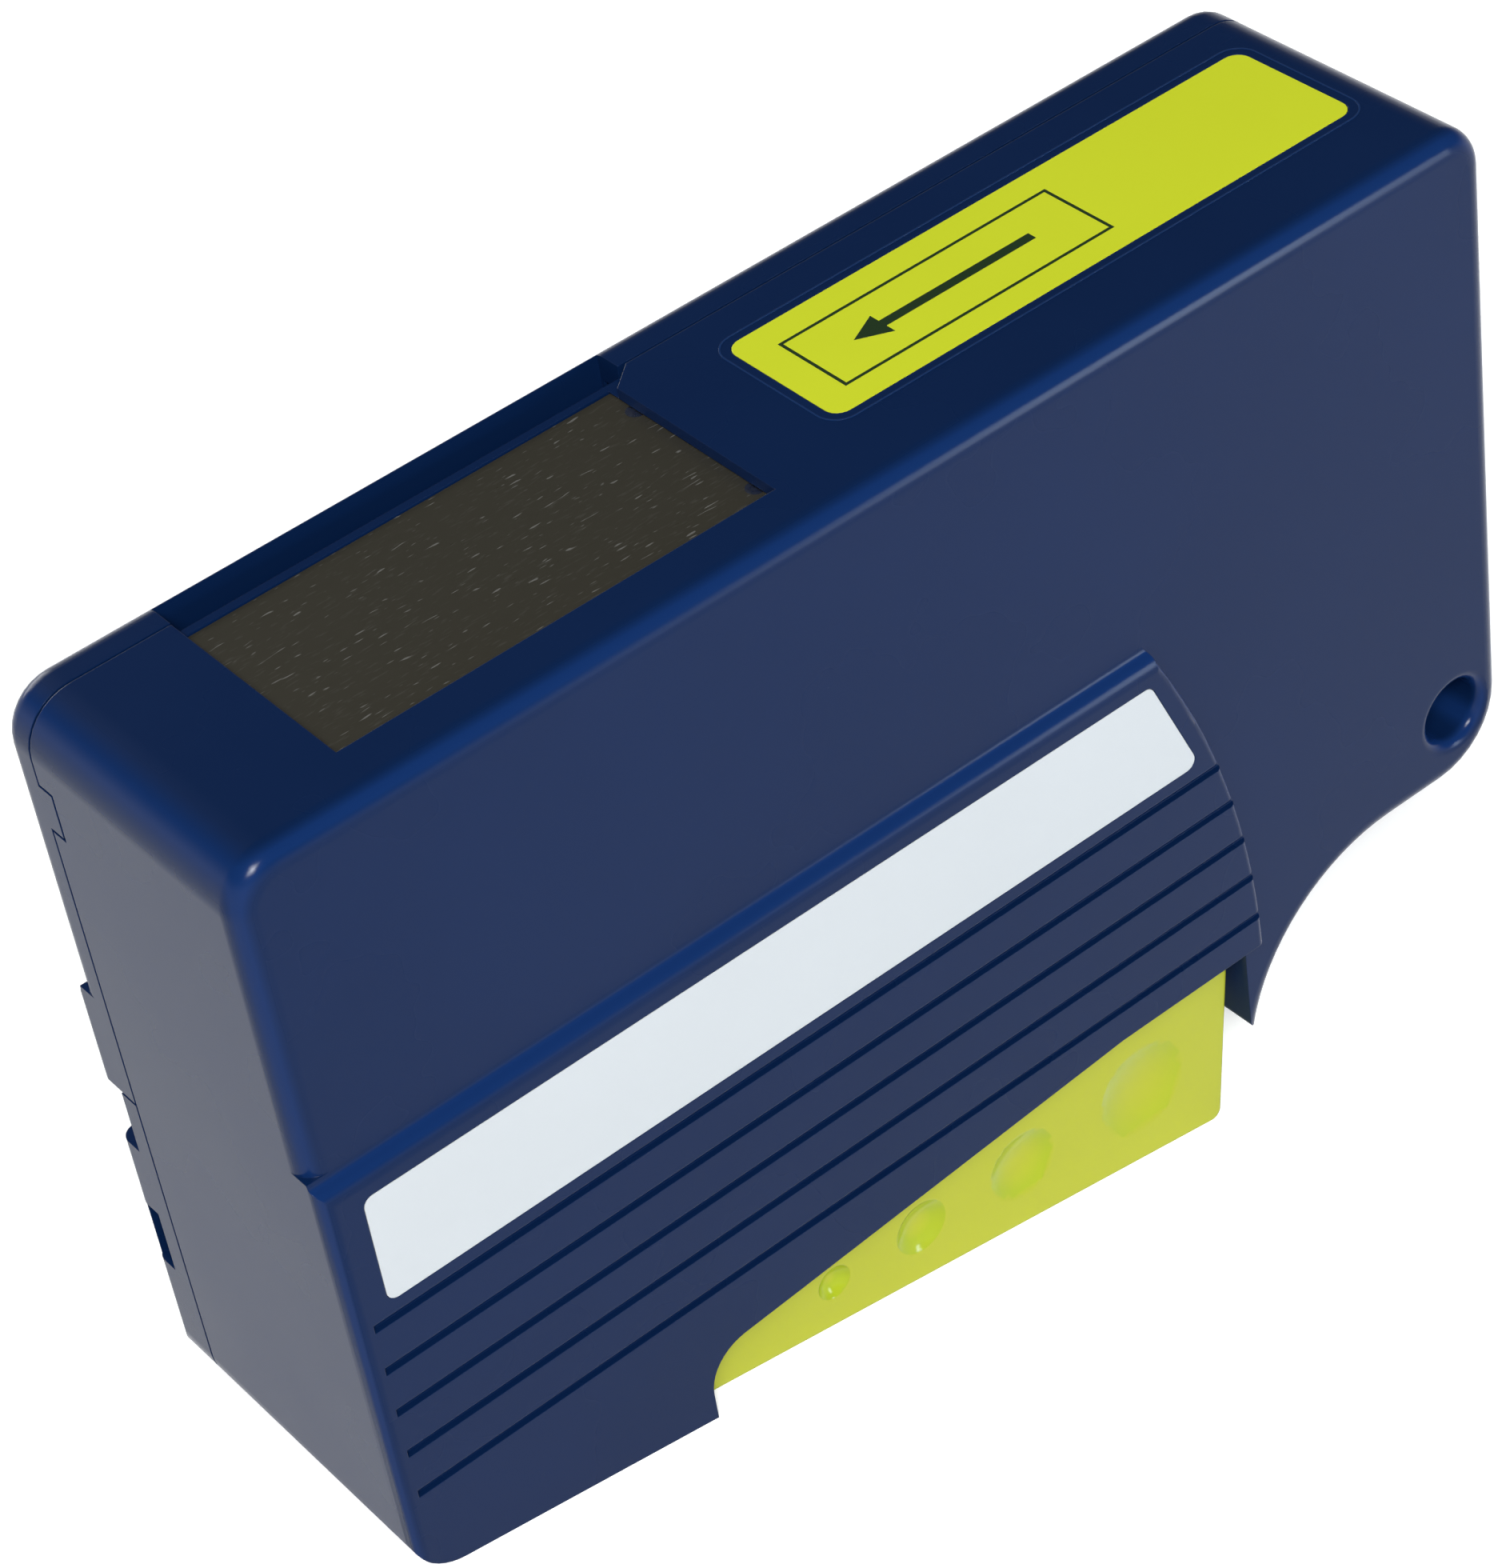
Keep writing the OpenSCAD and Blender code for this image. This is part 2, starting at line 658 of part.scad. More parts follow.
module front_housing() {
    shutter_y = [window_y - shutter_side, seam_y - window_rail];
    channel_end = window_x + window_l + shutter_side + shutter_travel + shutter_gap;
    ledge_z = [-shutter_drop - shutter_t - shutter_gap - ledge_t, -shutter_drop - shutter_t - shutter_gap];
    color("midnightblue") difference() {
        union() {
            difference() {
                half_case();
                along_y(wall, far) case_room();
                along_y(grip_wall, far) lever_room();
                along_y(grip_wall, far) lever_gap(tab_left_x);
            }
            // Bosses that stand on the front wall
            rod(takeup, spindle_r + boss_wall, wall - cut, layer_a - boss_gap);
            rod(supply, post_shoulder_r + boss_wall, wall - cut, layer_a - boss_gap);
            for (c = [idler, shutter_axle]) rod(c, gear_pin_r + boss_wall, wall - cut, layer_a - boss_gap);
            for (c = housing_screw_at) rod(c, boss_r, wall - cut, seam_y + seam_gap);
            for (c = inner_screw_at) rod(c, small_boss_r, wall - cut, plate_y);
            rod(strap, strap_r + strap_wall, wall - cut, seam_y);
            // Ledge inside the left end, under the spring's leg
            block([wall - cut, wall + leg_ledge], [case_t / 2 - 2 * leg_ledge, case_t / 2],
                [coil_r - pivot_drop - leg_ledge, coil_r - pivot_drop]);
            // Ledges that carry the shutter and the rail behind the window
            block([wall, channel_end], [wall - cut, layer_b - ledge_gap], ledge_z);
            block([wall, channel_end], [shutter_y[1] - rear_ledge_w, seam_y], ledge_z);
            block([wall, window_x + window_l + window_cut_x], [shutter_y[1], seam_y],
                [ledge_z[0], -rail_drop]);
        }
        // Window, its slanted rear corner, and the channel that the shutter slides in
        block([window_x, window_x + window_l], [window_y, shutter_y[1]], [-shutter_drop - shutter_t, cut]);
        along_z(-rail_drop, cut) polygon([[window_x, window_y], [window_x + window_l, window_y],
            [window_x + window_l, seam_y - window_cut_y],
            [window_x + window_l + window_cut_x, seam_y + seam_gap], [window_x, seam_y + seam_gap]]);
        block([window_x - shutter_side, channel_end], shutter_y, [ledge_z[1], shutter_gap - shutter_drop]);
        block([window_x - shutter_side, channel_end], [layer_b - ledge_gap, shutter_y[1] - rear_ledge_w],
            [-wall - cut, shutter_gap - shutter_drop]);
        // Seats for the labels
        translate([0, label_t - grip_raise, 0]) along_y(-far, 0) front_label_face();
        along_z(-label_t, cut) top_label_face();
        grip_grooves();
        strap_bore();
        // Blind bores for the pins, the spindles and the screws
        rod(pivot, pivot_pin_r, -grip_raise + pin_seat, far);
        rod(takeup, spindle_r + run_gap, wall - spindle_seat, far);
        rod(supply, post_shoulder_r, layer_a - boss_gap - spindle_seat, far);
        for (c = [idler, shutter_axle]) rod(c, gear_pin_r, wall - spindle_seat, far);
        for (c = housing_screw_at) rod(c, screw_r, seam_y - screw_l, far);
        for (c = inner_screw_at) rod(c, small_screw_r, plate_y - small_screw_l, far);
        // Seats for the door's tongues
        for (x = [[-cut, tongue_t + pass_gap], [case_l - tongue_t - pass_gap, case_l + cut]])
            block(x, [seam_y - tongue_reach - pass_gap, far],
                [-tongue_top - tongue_h - pass_gap, pass_gap - tongue_top]);
    }
}

module front_label_face(gap = 0) {
    polygon(rounded([[front_label_x + gap, -front_label_top - front_label_h + gap],
        [front_label_x + front_label_low_l - gap, -front_label_top - front_label_h + gap],
        [front_label_x + front_label_top_l - gap, -front_label_top - gap],
        [front_label_x + gap, -front_label_top - gap]], front_label_r));
}

module front_label() {
    color("gainsboro") translate([0, label_t - grip_raise, 0])
        along_y(-label_t, 0) front_label_face(label_gap);
}

module top_label_face(gap = 0) {
    polygon(rounded([[top_label_x + gap, top_label_y + gap],
        [top_label_x + top_label_l - gap, top_label_y + gap],
        [top_label_x + top_label_l - gap, top_label_y + top_label_w - gap],
        [top_label_x + gap, top_label_y + top_label_w - gap]], top_label_r));
}

module top_label() {
    color("yellowgreen") along_z(-label_t, 0) top_label_face(label_gap);
}

// Stretches along the hinge, from its middle: the door's knuckle and its two neighbours
hinge_at = [hinge_inset, case_l - hinge_inset];
side_knuckles = [for (s = [-1, 1]) s * (knuckle_w / 2 + knuckle_gap + side_knuckle_w / 2)];
hinge_l = knuckle_w + 2 * knuckle_gap + 2 * side_knuckle_w;

module hinge_rod(x, l, r) {
    translate([x - l / 2, hinge_y, -hinge_drop]) rotate([0, 90, 0]) cylinder(r = r, h = l);
}

module rear_grip() {
    top_z = -door_drop - pass_gap;
    color("midnightblue") difference() {
        union() {
            difference() {
                intersection() {
                    on_back() half_case();
                    block([-far, far], [seam_y + seam_gap, far], [-far, top_z]);
                }
                along_y(-far, case_t - wall - wall) case_room(top_z - wall);
                along_y(-far, case_t - grip_wall) intersection() {
                    lever_room();
                    translate([0, -far]) square([far, far - finger_drop - wall]);
                }
                along_y(-far, case_t - grip_wall) lever_gap();
                // Groove below the door, where a finger lifts it
                block([-far, far], [finger_y, far], [-finger_drop, far]);
            }
            // Screw bosses and the strap's tube
            for (c = housing_screw_at) rod(c, boss_r, seam_y + seam_gap, case_t - grip_wall + seam_gap);
            rod(strap, strap_r + strap_wall, seam_y + seam_gap, case_t - wall);
            for (x = hinge_at, s = side_knuckles) {
                hinge_rod(x + s, side_knuckle_w, hinge_r);
                block([x + s - side_knuckle_w / 2, x + s + side_knuckle_w / 2], [finger_y - cut, hinge_y],
                    [-hinge_drop - hinge_r, -hinge_drop]);
            }
        }
        on_back() grip_grooves();
        strap_bore();
        on_back() strap_bore();
        rod(pivot, pivot_pin_r, -far, case_t + grip_raise - pin_seat);
        for (c = housing_screw_at) {
            rod(c, screw_r, -far, far);
            rod(c, screw_head_r + label_gap, case_t - screw_sink - screw_head_t, far);
        }
        for (x = hinge_at) {
            hinge_rod(x, hinge_l + cut, hinge_pin_r);
            block([x - knuckle_w / 2 - knuckle_gap, x + knuckle_w / 2 + knuckle_gap],
                [hinge_y - hinge_r - pass_gap, far], [-hinge_drop - hinge_r - pass_gap, far]);
        }
        // Latch recess in the left end
        block([-cut, latch_depth], [latch_y, latch_y + latch_w], [-latch_top - latch_h, -latch_top]);
    }
}

module screw(c, r, head_r, head_t, head_y, l) {
    difference() {
        union() {
            rod(c, r, head_y - l, head_y);
            rod(c, head_r, head_y, head_y + head_t);
        }
        translate([c[0], head_y + head_t + cut, c[1]]) rotate([90, 0, 0])
            cylinder(r = screw_hex * head_r / screw_head_r / 2, h = cut + head_t / 2, $fn = 6);
    }
}

module housing_screws() {
    color("silver") for (c = housing_screw_at)
        screw(c, screw_r, screw_head_r, screw_head_t, case_t - screw_sink - screw_head_t,
            case_t - screw_sink - screw_head_t - seam_y + screw_l);
}

module inner_plate_screws() {
    color("silver") for (c = inner_screw_at)
        screw(c, small_screw_r, small_head_r, small_head_t, plate_y + plate_t, plate_t + small_screw_l);
}

// Plate with two slots that guide a connector onto the tape
module window_plate() {
    // Its left end is where the rounded corner of the hollow begins at its depth
    left = top_left_r - sqrt(pow(top_left_r - wall, 2) - pow(max(0, top_left_r - window_plate_drop), 2));
    x = [left + window_plate_gap, window_x + window_l + shutter_side];
    y = [plate_y + pass_gap, seam_y - window_rail - shutter_gap];
    slot_y = tape_y + tape_w / 2;
    color("dimgray") difference() {
        block(x, y, [-window_plate_drop - window_plate_t, -window_plate_drop]);
        for (i = [1, 2]) {
            right = window_x + i * (slot_l + slot_inset);
            block([right - slot_l, right], [slot_y - slot_w / 2, slot_y + slot_w / 2], [-far, far]);
        }
    }
}

module inner_plate() {
    left = inner_screw_at[0][0] - small_boss_r;
    right = inner_screw_at[2][0] + small_boss_r - cut;
    low = inner_screw_at[4];
    color("slategray") difference() {
        along_y(plate_y, plate_y + plate_t) polygon([[left, -frame_top], [left, -door_drop - wall],
            [tab_left_x + tab_wall, -door_drop - wall], [tab_left_x + tab_wall, low[1] - small_boss_r],
            [low[0] + small_boss_r, low[1] - small_boss_r], [low[0] + small_boss_r, -door_drop - wall],
            [right, -door_drop - wall], [right, -frame_top]]);
        rod(takeup, spindle_r + run_gap, -far, far);
        for (c = [idler, shutter_axle]) rod(c, gear_pin_r, -far, far);
        for (c = inner_screw_at) rod(c, small_screw_r, -far, far);
        // In a short case the plate passes round the supply spindle
        rod(supply, post_shoulder_r + pass_gap, -far, far);
    }
    // Stud for the holding pawl and post for its spring
    color("slategray") {
        rod(at(takeup, pawl_pivot_r, holding_pawl_angle), pawl_pin_r, layer_b, plate_y);
        pawl_post(holding_pawl_angle, layer_b, plate_y);
    }
}

module gear_pins() {
    color("silver") for (c = [idler, shutter_axle])
        rod(c, gear_pin_r, wall - spindle_seat, plate_y + plate_t);
}

// Teeth on involute flanks, in the wheel's own axes
function inv(a) = tan(a) * 180 / PI - a;
function flank(teeth, r) = let(base = pitch_r(teeth) * cos(pressure), s = max(r, base))
    90 / teeth - backlash / gear_module / teeth * 180 / PI + inv(pressure) - inv(acos(base / s));
module wheel(teeth, first = 0, last = undef, back = undef, $fn = 96) {
    steps = 4;
    end = is_undef(last) ? teeth - 1 : last;
    r0 = root_r(teeth);
    r1 = tip_r(teeth);
    from = max(r0, pitch_r(teeth) * cos(pressure));
    side = [for (k = [0:steps]) from + (r1 - from) * k / steps];
    foot = flank(teeth, from);
    points = [for (i = [first:end]) let(a = i * 360 / teeth) each concat(
        [at([0, 0], r0, a - foot)], [for (r = side) at([0, 0], r, a - flank(teeth, r))],
        [for (k = [0:steps]) at([0, 0], side[steps - k], a + flank(teeth, side[steps - k]))],
        [at([0, 0], r0, a + foot)])];
    inner = is_undef(back) ? [] : [for (i = [end:-1:first]) at([0, 0], back, i * 360 / teeth)];
    polygon(concat(points, inner));
}

// Front view of a wheel at its place and turn
module placed(c, turn) {
    translate(c) rotate(turn) children();
}

// A wheel with a thin web between its rim and its hub
module webbed(c, teeth, turn, y, t, bore, hub) {
    difference() {
        along_y(y, y + t) placed(c, turn) wheel(teeth);
        rod(c, bore, -far, far);
        difference() {
            rod(c, root_r(teeth) - rim_w, y + web_t, far);
            rod(c, hub, -far, far);
        }
    }
}

module idler_gear() {
    color("ivory")
        webbed(idler, idler_teeth, idler_turn, layer_a, layer_a_t, gear_pin_r + run_gap,
            gear_pin_r + hub_wall);
}

module drive_gear() {
    c = at(takeup, pawl_pivot_r, drive_pawl_angle);
    color("ivory") {
        webbed(takeup, drive_teeth, drive_turn, layer_a, layer_a_t, spindle_r + run_gap,
            spindle_r + hub_wall);
        rod(c, pawl_boss_r, layer_a, layer_a + layer_a_t);
        rod(c, pawl_pin_r, layer_a + layer_a_t, plate_y - pass_gap);
        pawl_post(drive_pawl_angle, layer_a + web_t, plate_y - pass_gap);
    }
}

module shutter_gear() {
    color("ivory") difference() {
        union() {
            along_y(layer_a, layer_b) placed(shutter_axle, shutter_turn) wheel(shutter_pinion_teeth);
            along_y(layer_b, layer_b + layer_b_t) placed(shutter_axle, shutter_turn)
                wheel(shutter_wheel_teeth);
        }
        rod(shutter_axle, gear_pin_r + run_gap, -far, far);
    }
}

// Sector of teeth on the lever, with its foot inside the lever's front wall
module lever_rack() {
    contact = heading(pivot, idler);
    pitch_a = 360 / sector_teeth;
    last = floor(contact / pitch_a) + 1;
    first = floor((contact - lever_travel) / pitch_a);
    r = root_r(sector_teeth) - rack_back;
    low = at(pivot, r, first * pitch_a);
    right = lever_right_x - lever_wall - pass_gap;
    color("ivory") {
        along_y(layer_a, layer_a + layer_a_t) placed(pivot, 0) wheel(sector_teeth, first, last, r);
        along_y(lever_y[0] + lever_wall, layer_a + layer_a_t) polygon([
            [low[0] - 2 * rack_back, -pivot_drop - rack_foot], [right, -pivot_drop - rack_foot],
            [right, low[1] + rack_back / 2],
            [low[0], low[1] + rack_back], [low[0] - 2 * rack_back, low[1]]]);
    }
}

// Front view of the lever, with its pivot boss and its flat that meets the floor
function lever_outline(inset = 0) = [
    [lever_heel_x + inset, floor_z(lever_heel_x + inset) + inset / cos(lean)],
    [lever_nose_x - inset, floor_z(lever_nose_x - inset) + inset / cos(lean)],
    [lever_right_x - inset, -skirt_drop - 2 * wall],
    [lever_right_x - inset, -lever_top_drop],
    [pivot_x, -pivot_drop + lever_boss_r],
    [pivot_x, -pivot_drop - lever_boss_r + inset],
    [lever_heel_x + inset, -lever_heel_drop + inset]];

module lever() {
    mid = case_t / 2;
    color("yellowgreen") difference() {
        union() {
            difference() {
                along_y(lever_y[0], lever_y[1]) {
                    polygon(rounded(lever_outline(), [lever_corner_r, lever_corner_r, 0, 0, 0, 0, 0]));
                    translate(pivot) circle(lever_boss_r);
                }
                along_y(lever_y[0] + lever_wall, lever_y[1] - lever_wall) {
                    polygon(concat([for (i = [0:2]) lever_outline(lever_wall)[i]],
                        [[lever_right_x - lever_wall, 0], [0, 0], [0, -far], lever_outline(lever_wall)[5],
                        lever_outline(lever_wall)[6]]));
                }
            }
            for (y = [lever_y[0], lever_y[1] - lever_wall - lever_tube_l])
                rod(pivot, pivot_pin_r + hub_wall, y, y + lever_wall + lever_tube_l);
        }
        rod(pivot, pivot_pin_r + run_gap, -far, far);
        // Notch in the right wall for the idler
        block([lever_right_x - lever_wall - cut, far],
            [lever_y[0] + lever_wall, layer_a + layer_a_t + pass_gap], [-lever_notch_drop, far]);
        for (i = [0:len(dimple_r_shares) - 1]) {
            x = foot_end_x + dimple_x_shares[i] * (lever_right_x - foot_end_x);
            shown = skirt_z(x) - floor_z(x);
            r = dimple_r_shares[i] * shown;
            ball = (pow(r, 2) + pow(dimple_depth, 2)) / (2 * dimple_depth);
            for (y = [lever_y[0] + dimple_depth - ball, lever_y[1] - dimple_depth + ball])
                translate([x, y, floor_z(x) + dimple_z_shares[i] * shown]) sphere(ball, $fn = 96);
        }
    }
}

module lever_pivot_pin() {
    color("silver") rod(pivot, pivot_pin_r, -grip_raise + pin_seat, case_t + grip_raise - pin_seat);
}

// A round wire swept along points, with flat ends
module wire(path, r) {
    n = len(path);
    function dir(i) = let(d = path[min(i + 1, n - 1)] - path[max(i - 1, 0)]) d / norm(d);
    function side(i) = let(d = dir(i), s = cross(d, [0, 1, 0]),
        q = norm(s) < 0.2 ? cross(d, [1, 0, 0]) : s) q / norm(q);
    points = [for (i = [0:n - 1], k = [0:wire_sides - 1])
        let(u = side(i), v = cross(dir(i), u), a = k * 360 / wire_sides)
        path[i] + r * (cos(a) * u + sin(a) * v)];
    faces = [for (i = [0:n - 2], k = [0:wire_sides - 1])
        let(a = i * wire_sides + k, b = i * wire_sides + (k + 1) % wire_sides)
        each [[a, b + wire_sides, b], [a, a + wire_sides, b + wire_sides]]];
    caps = [[for (k = [0:wire_sides - 1]) k], [for (k = [wire_sides - 1:-1:0]) (n - 1) * wire_sides + k]];
    polyhedron(points, concat(faces, caps));
}

module lever_spring() {
    r = coil_r + coil_wire / 2;
    y0 = case_t / 2 - coil_turns * coil_pitch / 2;
    coil = [for (i = [0:coil_turns * coil_steps]) let(a = 90 + i * 360 / coil_steps)
        [pivot_x + r * cos(a), y0 + i / coil_steps * coil_pitch, -pivot_drop + r * sin(a)]];
    last = coil[len(coil) - 1];
    color("silver")
        wire(concat([coil[0] - [leg_back, 0, 0]], coil, [last + [leg_out, 0, -leg_fall]]), coil_wire / 2);
}

// Front view of a pawl: pivot boss, curved arm and hooked tip
module pawl_face(angle) {
    p = at(takeup, pawl_pivot_r, angle);
    tip = at(takeup, ratchet_r + pawl_lift, angle + pawl_sweep);
    out = at(takeup, ratchet_r + pawl_lift + pawl_tip_w + pawl_boss_r, angle + pawl_sweep);
    along = (tip - p) / norm(tip - p);
    across = [along[1], -along[0]];
    translate(p) circle(pawl_boss_r);
    polygon([p - pawl_arm_share * pawl_boss_r * across, p + pawl_arm_share * pawl_boss_r * across,
        out, tip, at(takeup, ratchet_r + pawl_lift, angle + pawl_sweep - pawl_hook),
        at(takeup, ratchet_r + 2 * pawl_tip_w, angle + pawl_sweep / 2)]);
}

module drive_pawl() {
    color("gold") difference() {
        along_y(layer_b, layer_b + pawl_t) pawl_face(drive_pawl_angle);
        rod(at(takeup, pawl_pivot_r, drive_pawl_angle), pawl_pin_r + run_gap, -far, far);
    }
}

module holding_pawl() {
    color("gold") difference() {
        along_y(layer_b, layer_b + pawl_t) pawl_face(holding_pawl_angle);
        rod(at(takeup, pawl_pivot_r, holding_pawl_angle), pawl_pin_r + run_gap, -far, far);
    }
}

// Post beyond a pawl's tip that holds its leaf spring
module pawl_post(angle, y0, y1) {
    rod(at(takeup, pawl_post_at, angle + pawl_post_sweep), pawl_post_r, y0, y1);
}

// Leaf spring, from its post to the outer side of the pawl's arm
module pawl_spring(angle) {
    post = at(takeup, pawl_post_at, angle + pawl_post_sweep);
    touch = at(takeup, pawl_touch_r, angle + pawl_touch_sweep);
    reach = norm(touch - post);
    along_y(layer_b, layer_b + pawl_t) difference() {
        union() {
            translate(post) circle(pawl_post_r + pawl_spring_t);
            translate(post) rotate(heading(post, touch)) translate([0, -pawl_post_r - pawl_spring_t])
                square([reach, pawl_spring_t]);
        }
        translate(post) circle(pawl_post_r);
    }
}

module drive_pawl_spring() {
    color("silver") pawl_spring(drive_pawl_angle);
}

module holding_pawl_spring() {
    color("silver") pawl_spring(holding_pawl_angle);
}

module ratchet_wheel() {
    pitch_a = 360 / ratchet_teeth;
    start = drive_pawl_angle + pawl_sweep + 1;
    points = [for (i = [0:ratchet_teeth - 1]) let(a = start + i * pitch_a) each
        [at([0, 0], ratchet_r - ratchet_depth, a - tooth_undercut), at([0, 0], ratchet_r, a)]];
    color("ivory") difference() {
        along_y(layer_b, layer_b + layer_b_t) placed(takeup, 0) polygon(points);
        rod(takeup, spindle_r, -far, far);
    }
}

module splines(r, w) {
    circle(spline_root_r + r - spline_r);
    for (i = [0:spline_count - 1]) rotate(i * 360 / spline_count) translate([0, -w / 2]) square([r, w]);
}

module takeup_spindle() {
    color("ivory") {
        rod(takeup, spindle_r, wall - spindle_seat, cartridge_y + cut);
        along_y(cartridge_y, reel_y + reel_w) placed(takeup, 0) splines(spline_r, spline_w);
    }
}

// A reel: hub and two flanges with round windows
module reel(c) {
    difference() {
        union() {
            rod(c, hub_r, reel_y, reel_y + reel_w);
            for (y = [reel_y, reel_y + reel_w - flange_t]) rod(c, reel_r, y, y + flange_t);
        }
        for (i = [0:flange_window_count - 1])
            rod(at(c, flange_window_at, i * 360 / flange_window_count), flange_window_r, -far, far);
    }
}

module takeup_reel() {
    color("lightsteelblue") difference() {
        reel(takeup);
        along_y(-far, far) placed(takeup, 0) splines(spline_r + run_gap, spline_w + 2 * run_gap);
    }
}

module roll(c, r) {
    difference() {
        rod(c, r, tape_y, tape_y + tape_w);
        rod(c, hub_r, -far, far);
    }
}

module used_tape_roll() {
    color("whitesmoke") roll(takeup, used_roll_r);
}

module fresh_tape_roll() {
    color("white") roll(supply, supply_roll_r);
}

module supply_reel() {
    color("lightsteelblue") difference() {
        reel(supply);
        rod(supply, post_r + run_gap, -far, far);
    }
}

module supply_spindle() {
    color("slategray") {
        rod(supply, post_shoulder_r, layer_a - boss_gap - spindle_seat, reel_y - brake_t - brake_gap);
        rod(supply, post_r, reel_y - brake_t - brake_gap - cut, reel_y + reel_w);
    }
}

module brake_washer() {
    color("darkred") difference() {
        rod(supply, post_shoulder_r, reel_y - brake_t - brake_gap, reel_y - brake_gap);
        rod(supply, post_r, -far, far);
    }
}

function frame_outline() = rounded([[frame_left, -frame_low], [frame_right, -frame_low],
    [frame_right, -frame_top], [frame_left, -frame_top]], frame_corner_r);

module cartridge_front_frame() {
    color("lightgray") difference() {
        along_y(cartridge_y, cartridge_y + frame_t) polygon(frame_outline());
        for (c = [takeup, supply]) rod(c, frame_hole_r, -far, far);
        for (c = inner_screw_at) rod(c, small_head_r + pass_gap, -far, far);
    }
}

module cartridge_rear_frame() {
    color("lightgray") difference() {
        along_y(rear_frame_y, rear_frame_y + frame_t) polygon(frame_outline());
        for (c = [takeup, supply]) rod(c, frame_hole_r, -far, far);
        along_y(-far, far) polygon(rounded([[supply_x + reel_r, -frame_low + frame_corner_r],
            [takeup_x - reel_r, -frame_low + frame_corner_r], [takeup_x - reel_r, -takeup_drop],
            [supply_x + reel_r, -takeup_drop]], frame_corner_r / 2));
    }
}

// Places of the posts that tie the two frames together
frame_post_at = [[frame_left + frame_corner_r, frame_corner_r - frame_low],
    [frame_right - frame_corner_r, frame_corner_r - frame_low],
    [frame_right - frame_corner_r, -frame_top - frame_corner_r],
    [(supply_x + takeup_x) / 2, frame_corner_r - frame_low]];

module cartridge_posts() {
    color("lightgray") for (c = frame_post_at) rod(c, frame_post_r, cartridge_y + frame_t, rear_frame_y);
}

module tape_guide_pins() {
    color("silver") for (x = [guide_left_x, guide_right_x])
        rod([x, -guide_drop], guide_r, cartridge_y + frame_t, rear_frame_y);
}

pad_top = tape_z - tape_t / 2 - tape_gap;

module pad_holder() {
    color("lightgray") block([pad_left - pad_margin, pad_right + pad_margin],
        [cartridge_y + frame_t, rear_frame_y], [pad_top - pad_t - pad_holder_t, pad_top - pad_t]);
}

module cleaning_pad() {
    color("black") block([pad_left, pad_right], [tape_y, tape_y + tape_w], [pad_top - pad_t, pad_top]);
}

// The tape's run: off the fresh roll, round the left guide, over the pad, round the right guide
module cleaning_tape() {
    left = [guide_left_x, -guide_drop];
    right = [guide_right_x, -guide_drop];
    gap = tape_gap + tape_t / 2;
    near = guide_r + gap;
    n_left = heading(supply, left) + acos((supply_roll_r + gap - near) / norm(left - supply));
    n_right = heading(right, takeup) + acos((used_roll_r + gap + near) / norm(takeup - right));
    steps = 8;
    run = concat([at(supply, supply_roll_r + gap, n_left)],
        [for (k = [0:steps]) at(left, near, n_left + (90 - n_left) * k / steps)],
        [for (k = [0:steps]) at(right, near, 90 + (n_right - 90) * k / steps)],
        [at(takeup, used_roll_r + gap, n_right - 180)]);
    function normal(i) = let(a = i == 0 ? run[1] - run[0] : run[i] - run[i - 1],
        b = i == len(run) - 1 ? a : run[i + 1] - run[i],
        t = a / norm(a) + b / norm(b)) [-t[1], t[0]] / norm(t);
    color("white") along_y(tape_y, tape_y + tape_w) polygon(concat(
        [for (i = [0:len(run) - 1]) run[i] + tape_t / 2 * normal(i)],
        [for (i = [len(run) - 1:-1:0]) run[i] - tape_t / 2 * normal(i)]));
}

// Shutter: plate, slide with its rack, and the rivets between them
slide_x = window_x + window_l + shutter_side - slide_bar_w;
slide_z = -shutter_drop - shutter_t;

module shutter_plate() {
    color("darkslategray") difference() {
        block([window_x - shutter_side + shutter_gap, window_x + window_l + shutter_side],
            [window_y - shutter_side + shutter_gap, seam_y - window_rail - shutter_gap],
            [slide_z, -shutter_drop]);
        for (c = rivet_at) translate([c[0], c[1], -far]) cylinder(r = rivet_r, h = far);
    }
}

rivet_at = [for (y = [layer_b + layer_b_t / 2, seam_y - window_rail - 2 * shutter_side])
    [slide_x + slide_bar_w - shutter_side, y]];

module shutter_rivets() {
    color("silver") for (c = rivet_at)
        translate([c[0], c[1], slide_z - slide_t]) cylinder(r = rivet_r, h = slide_t + shutter_t);
}

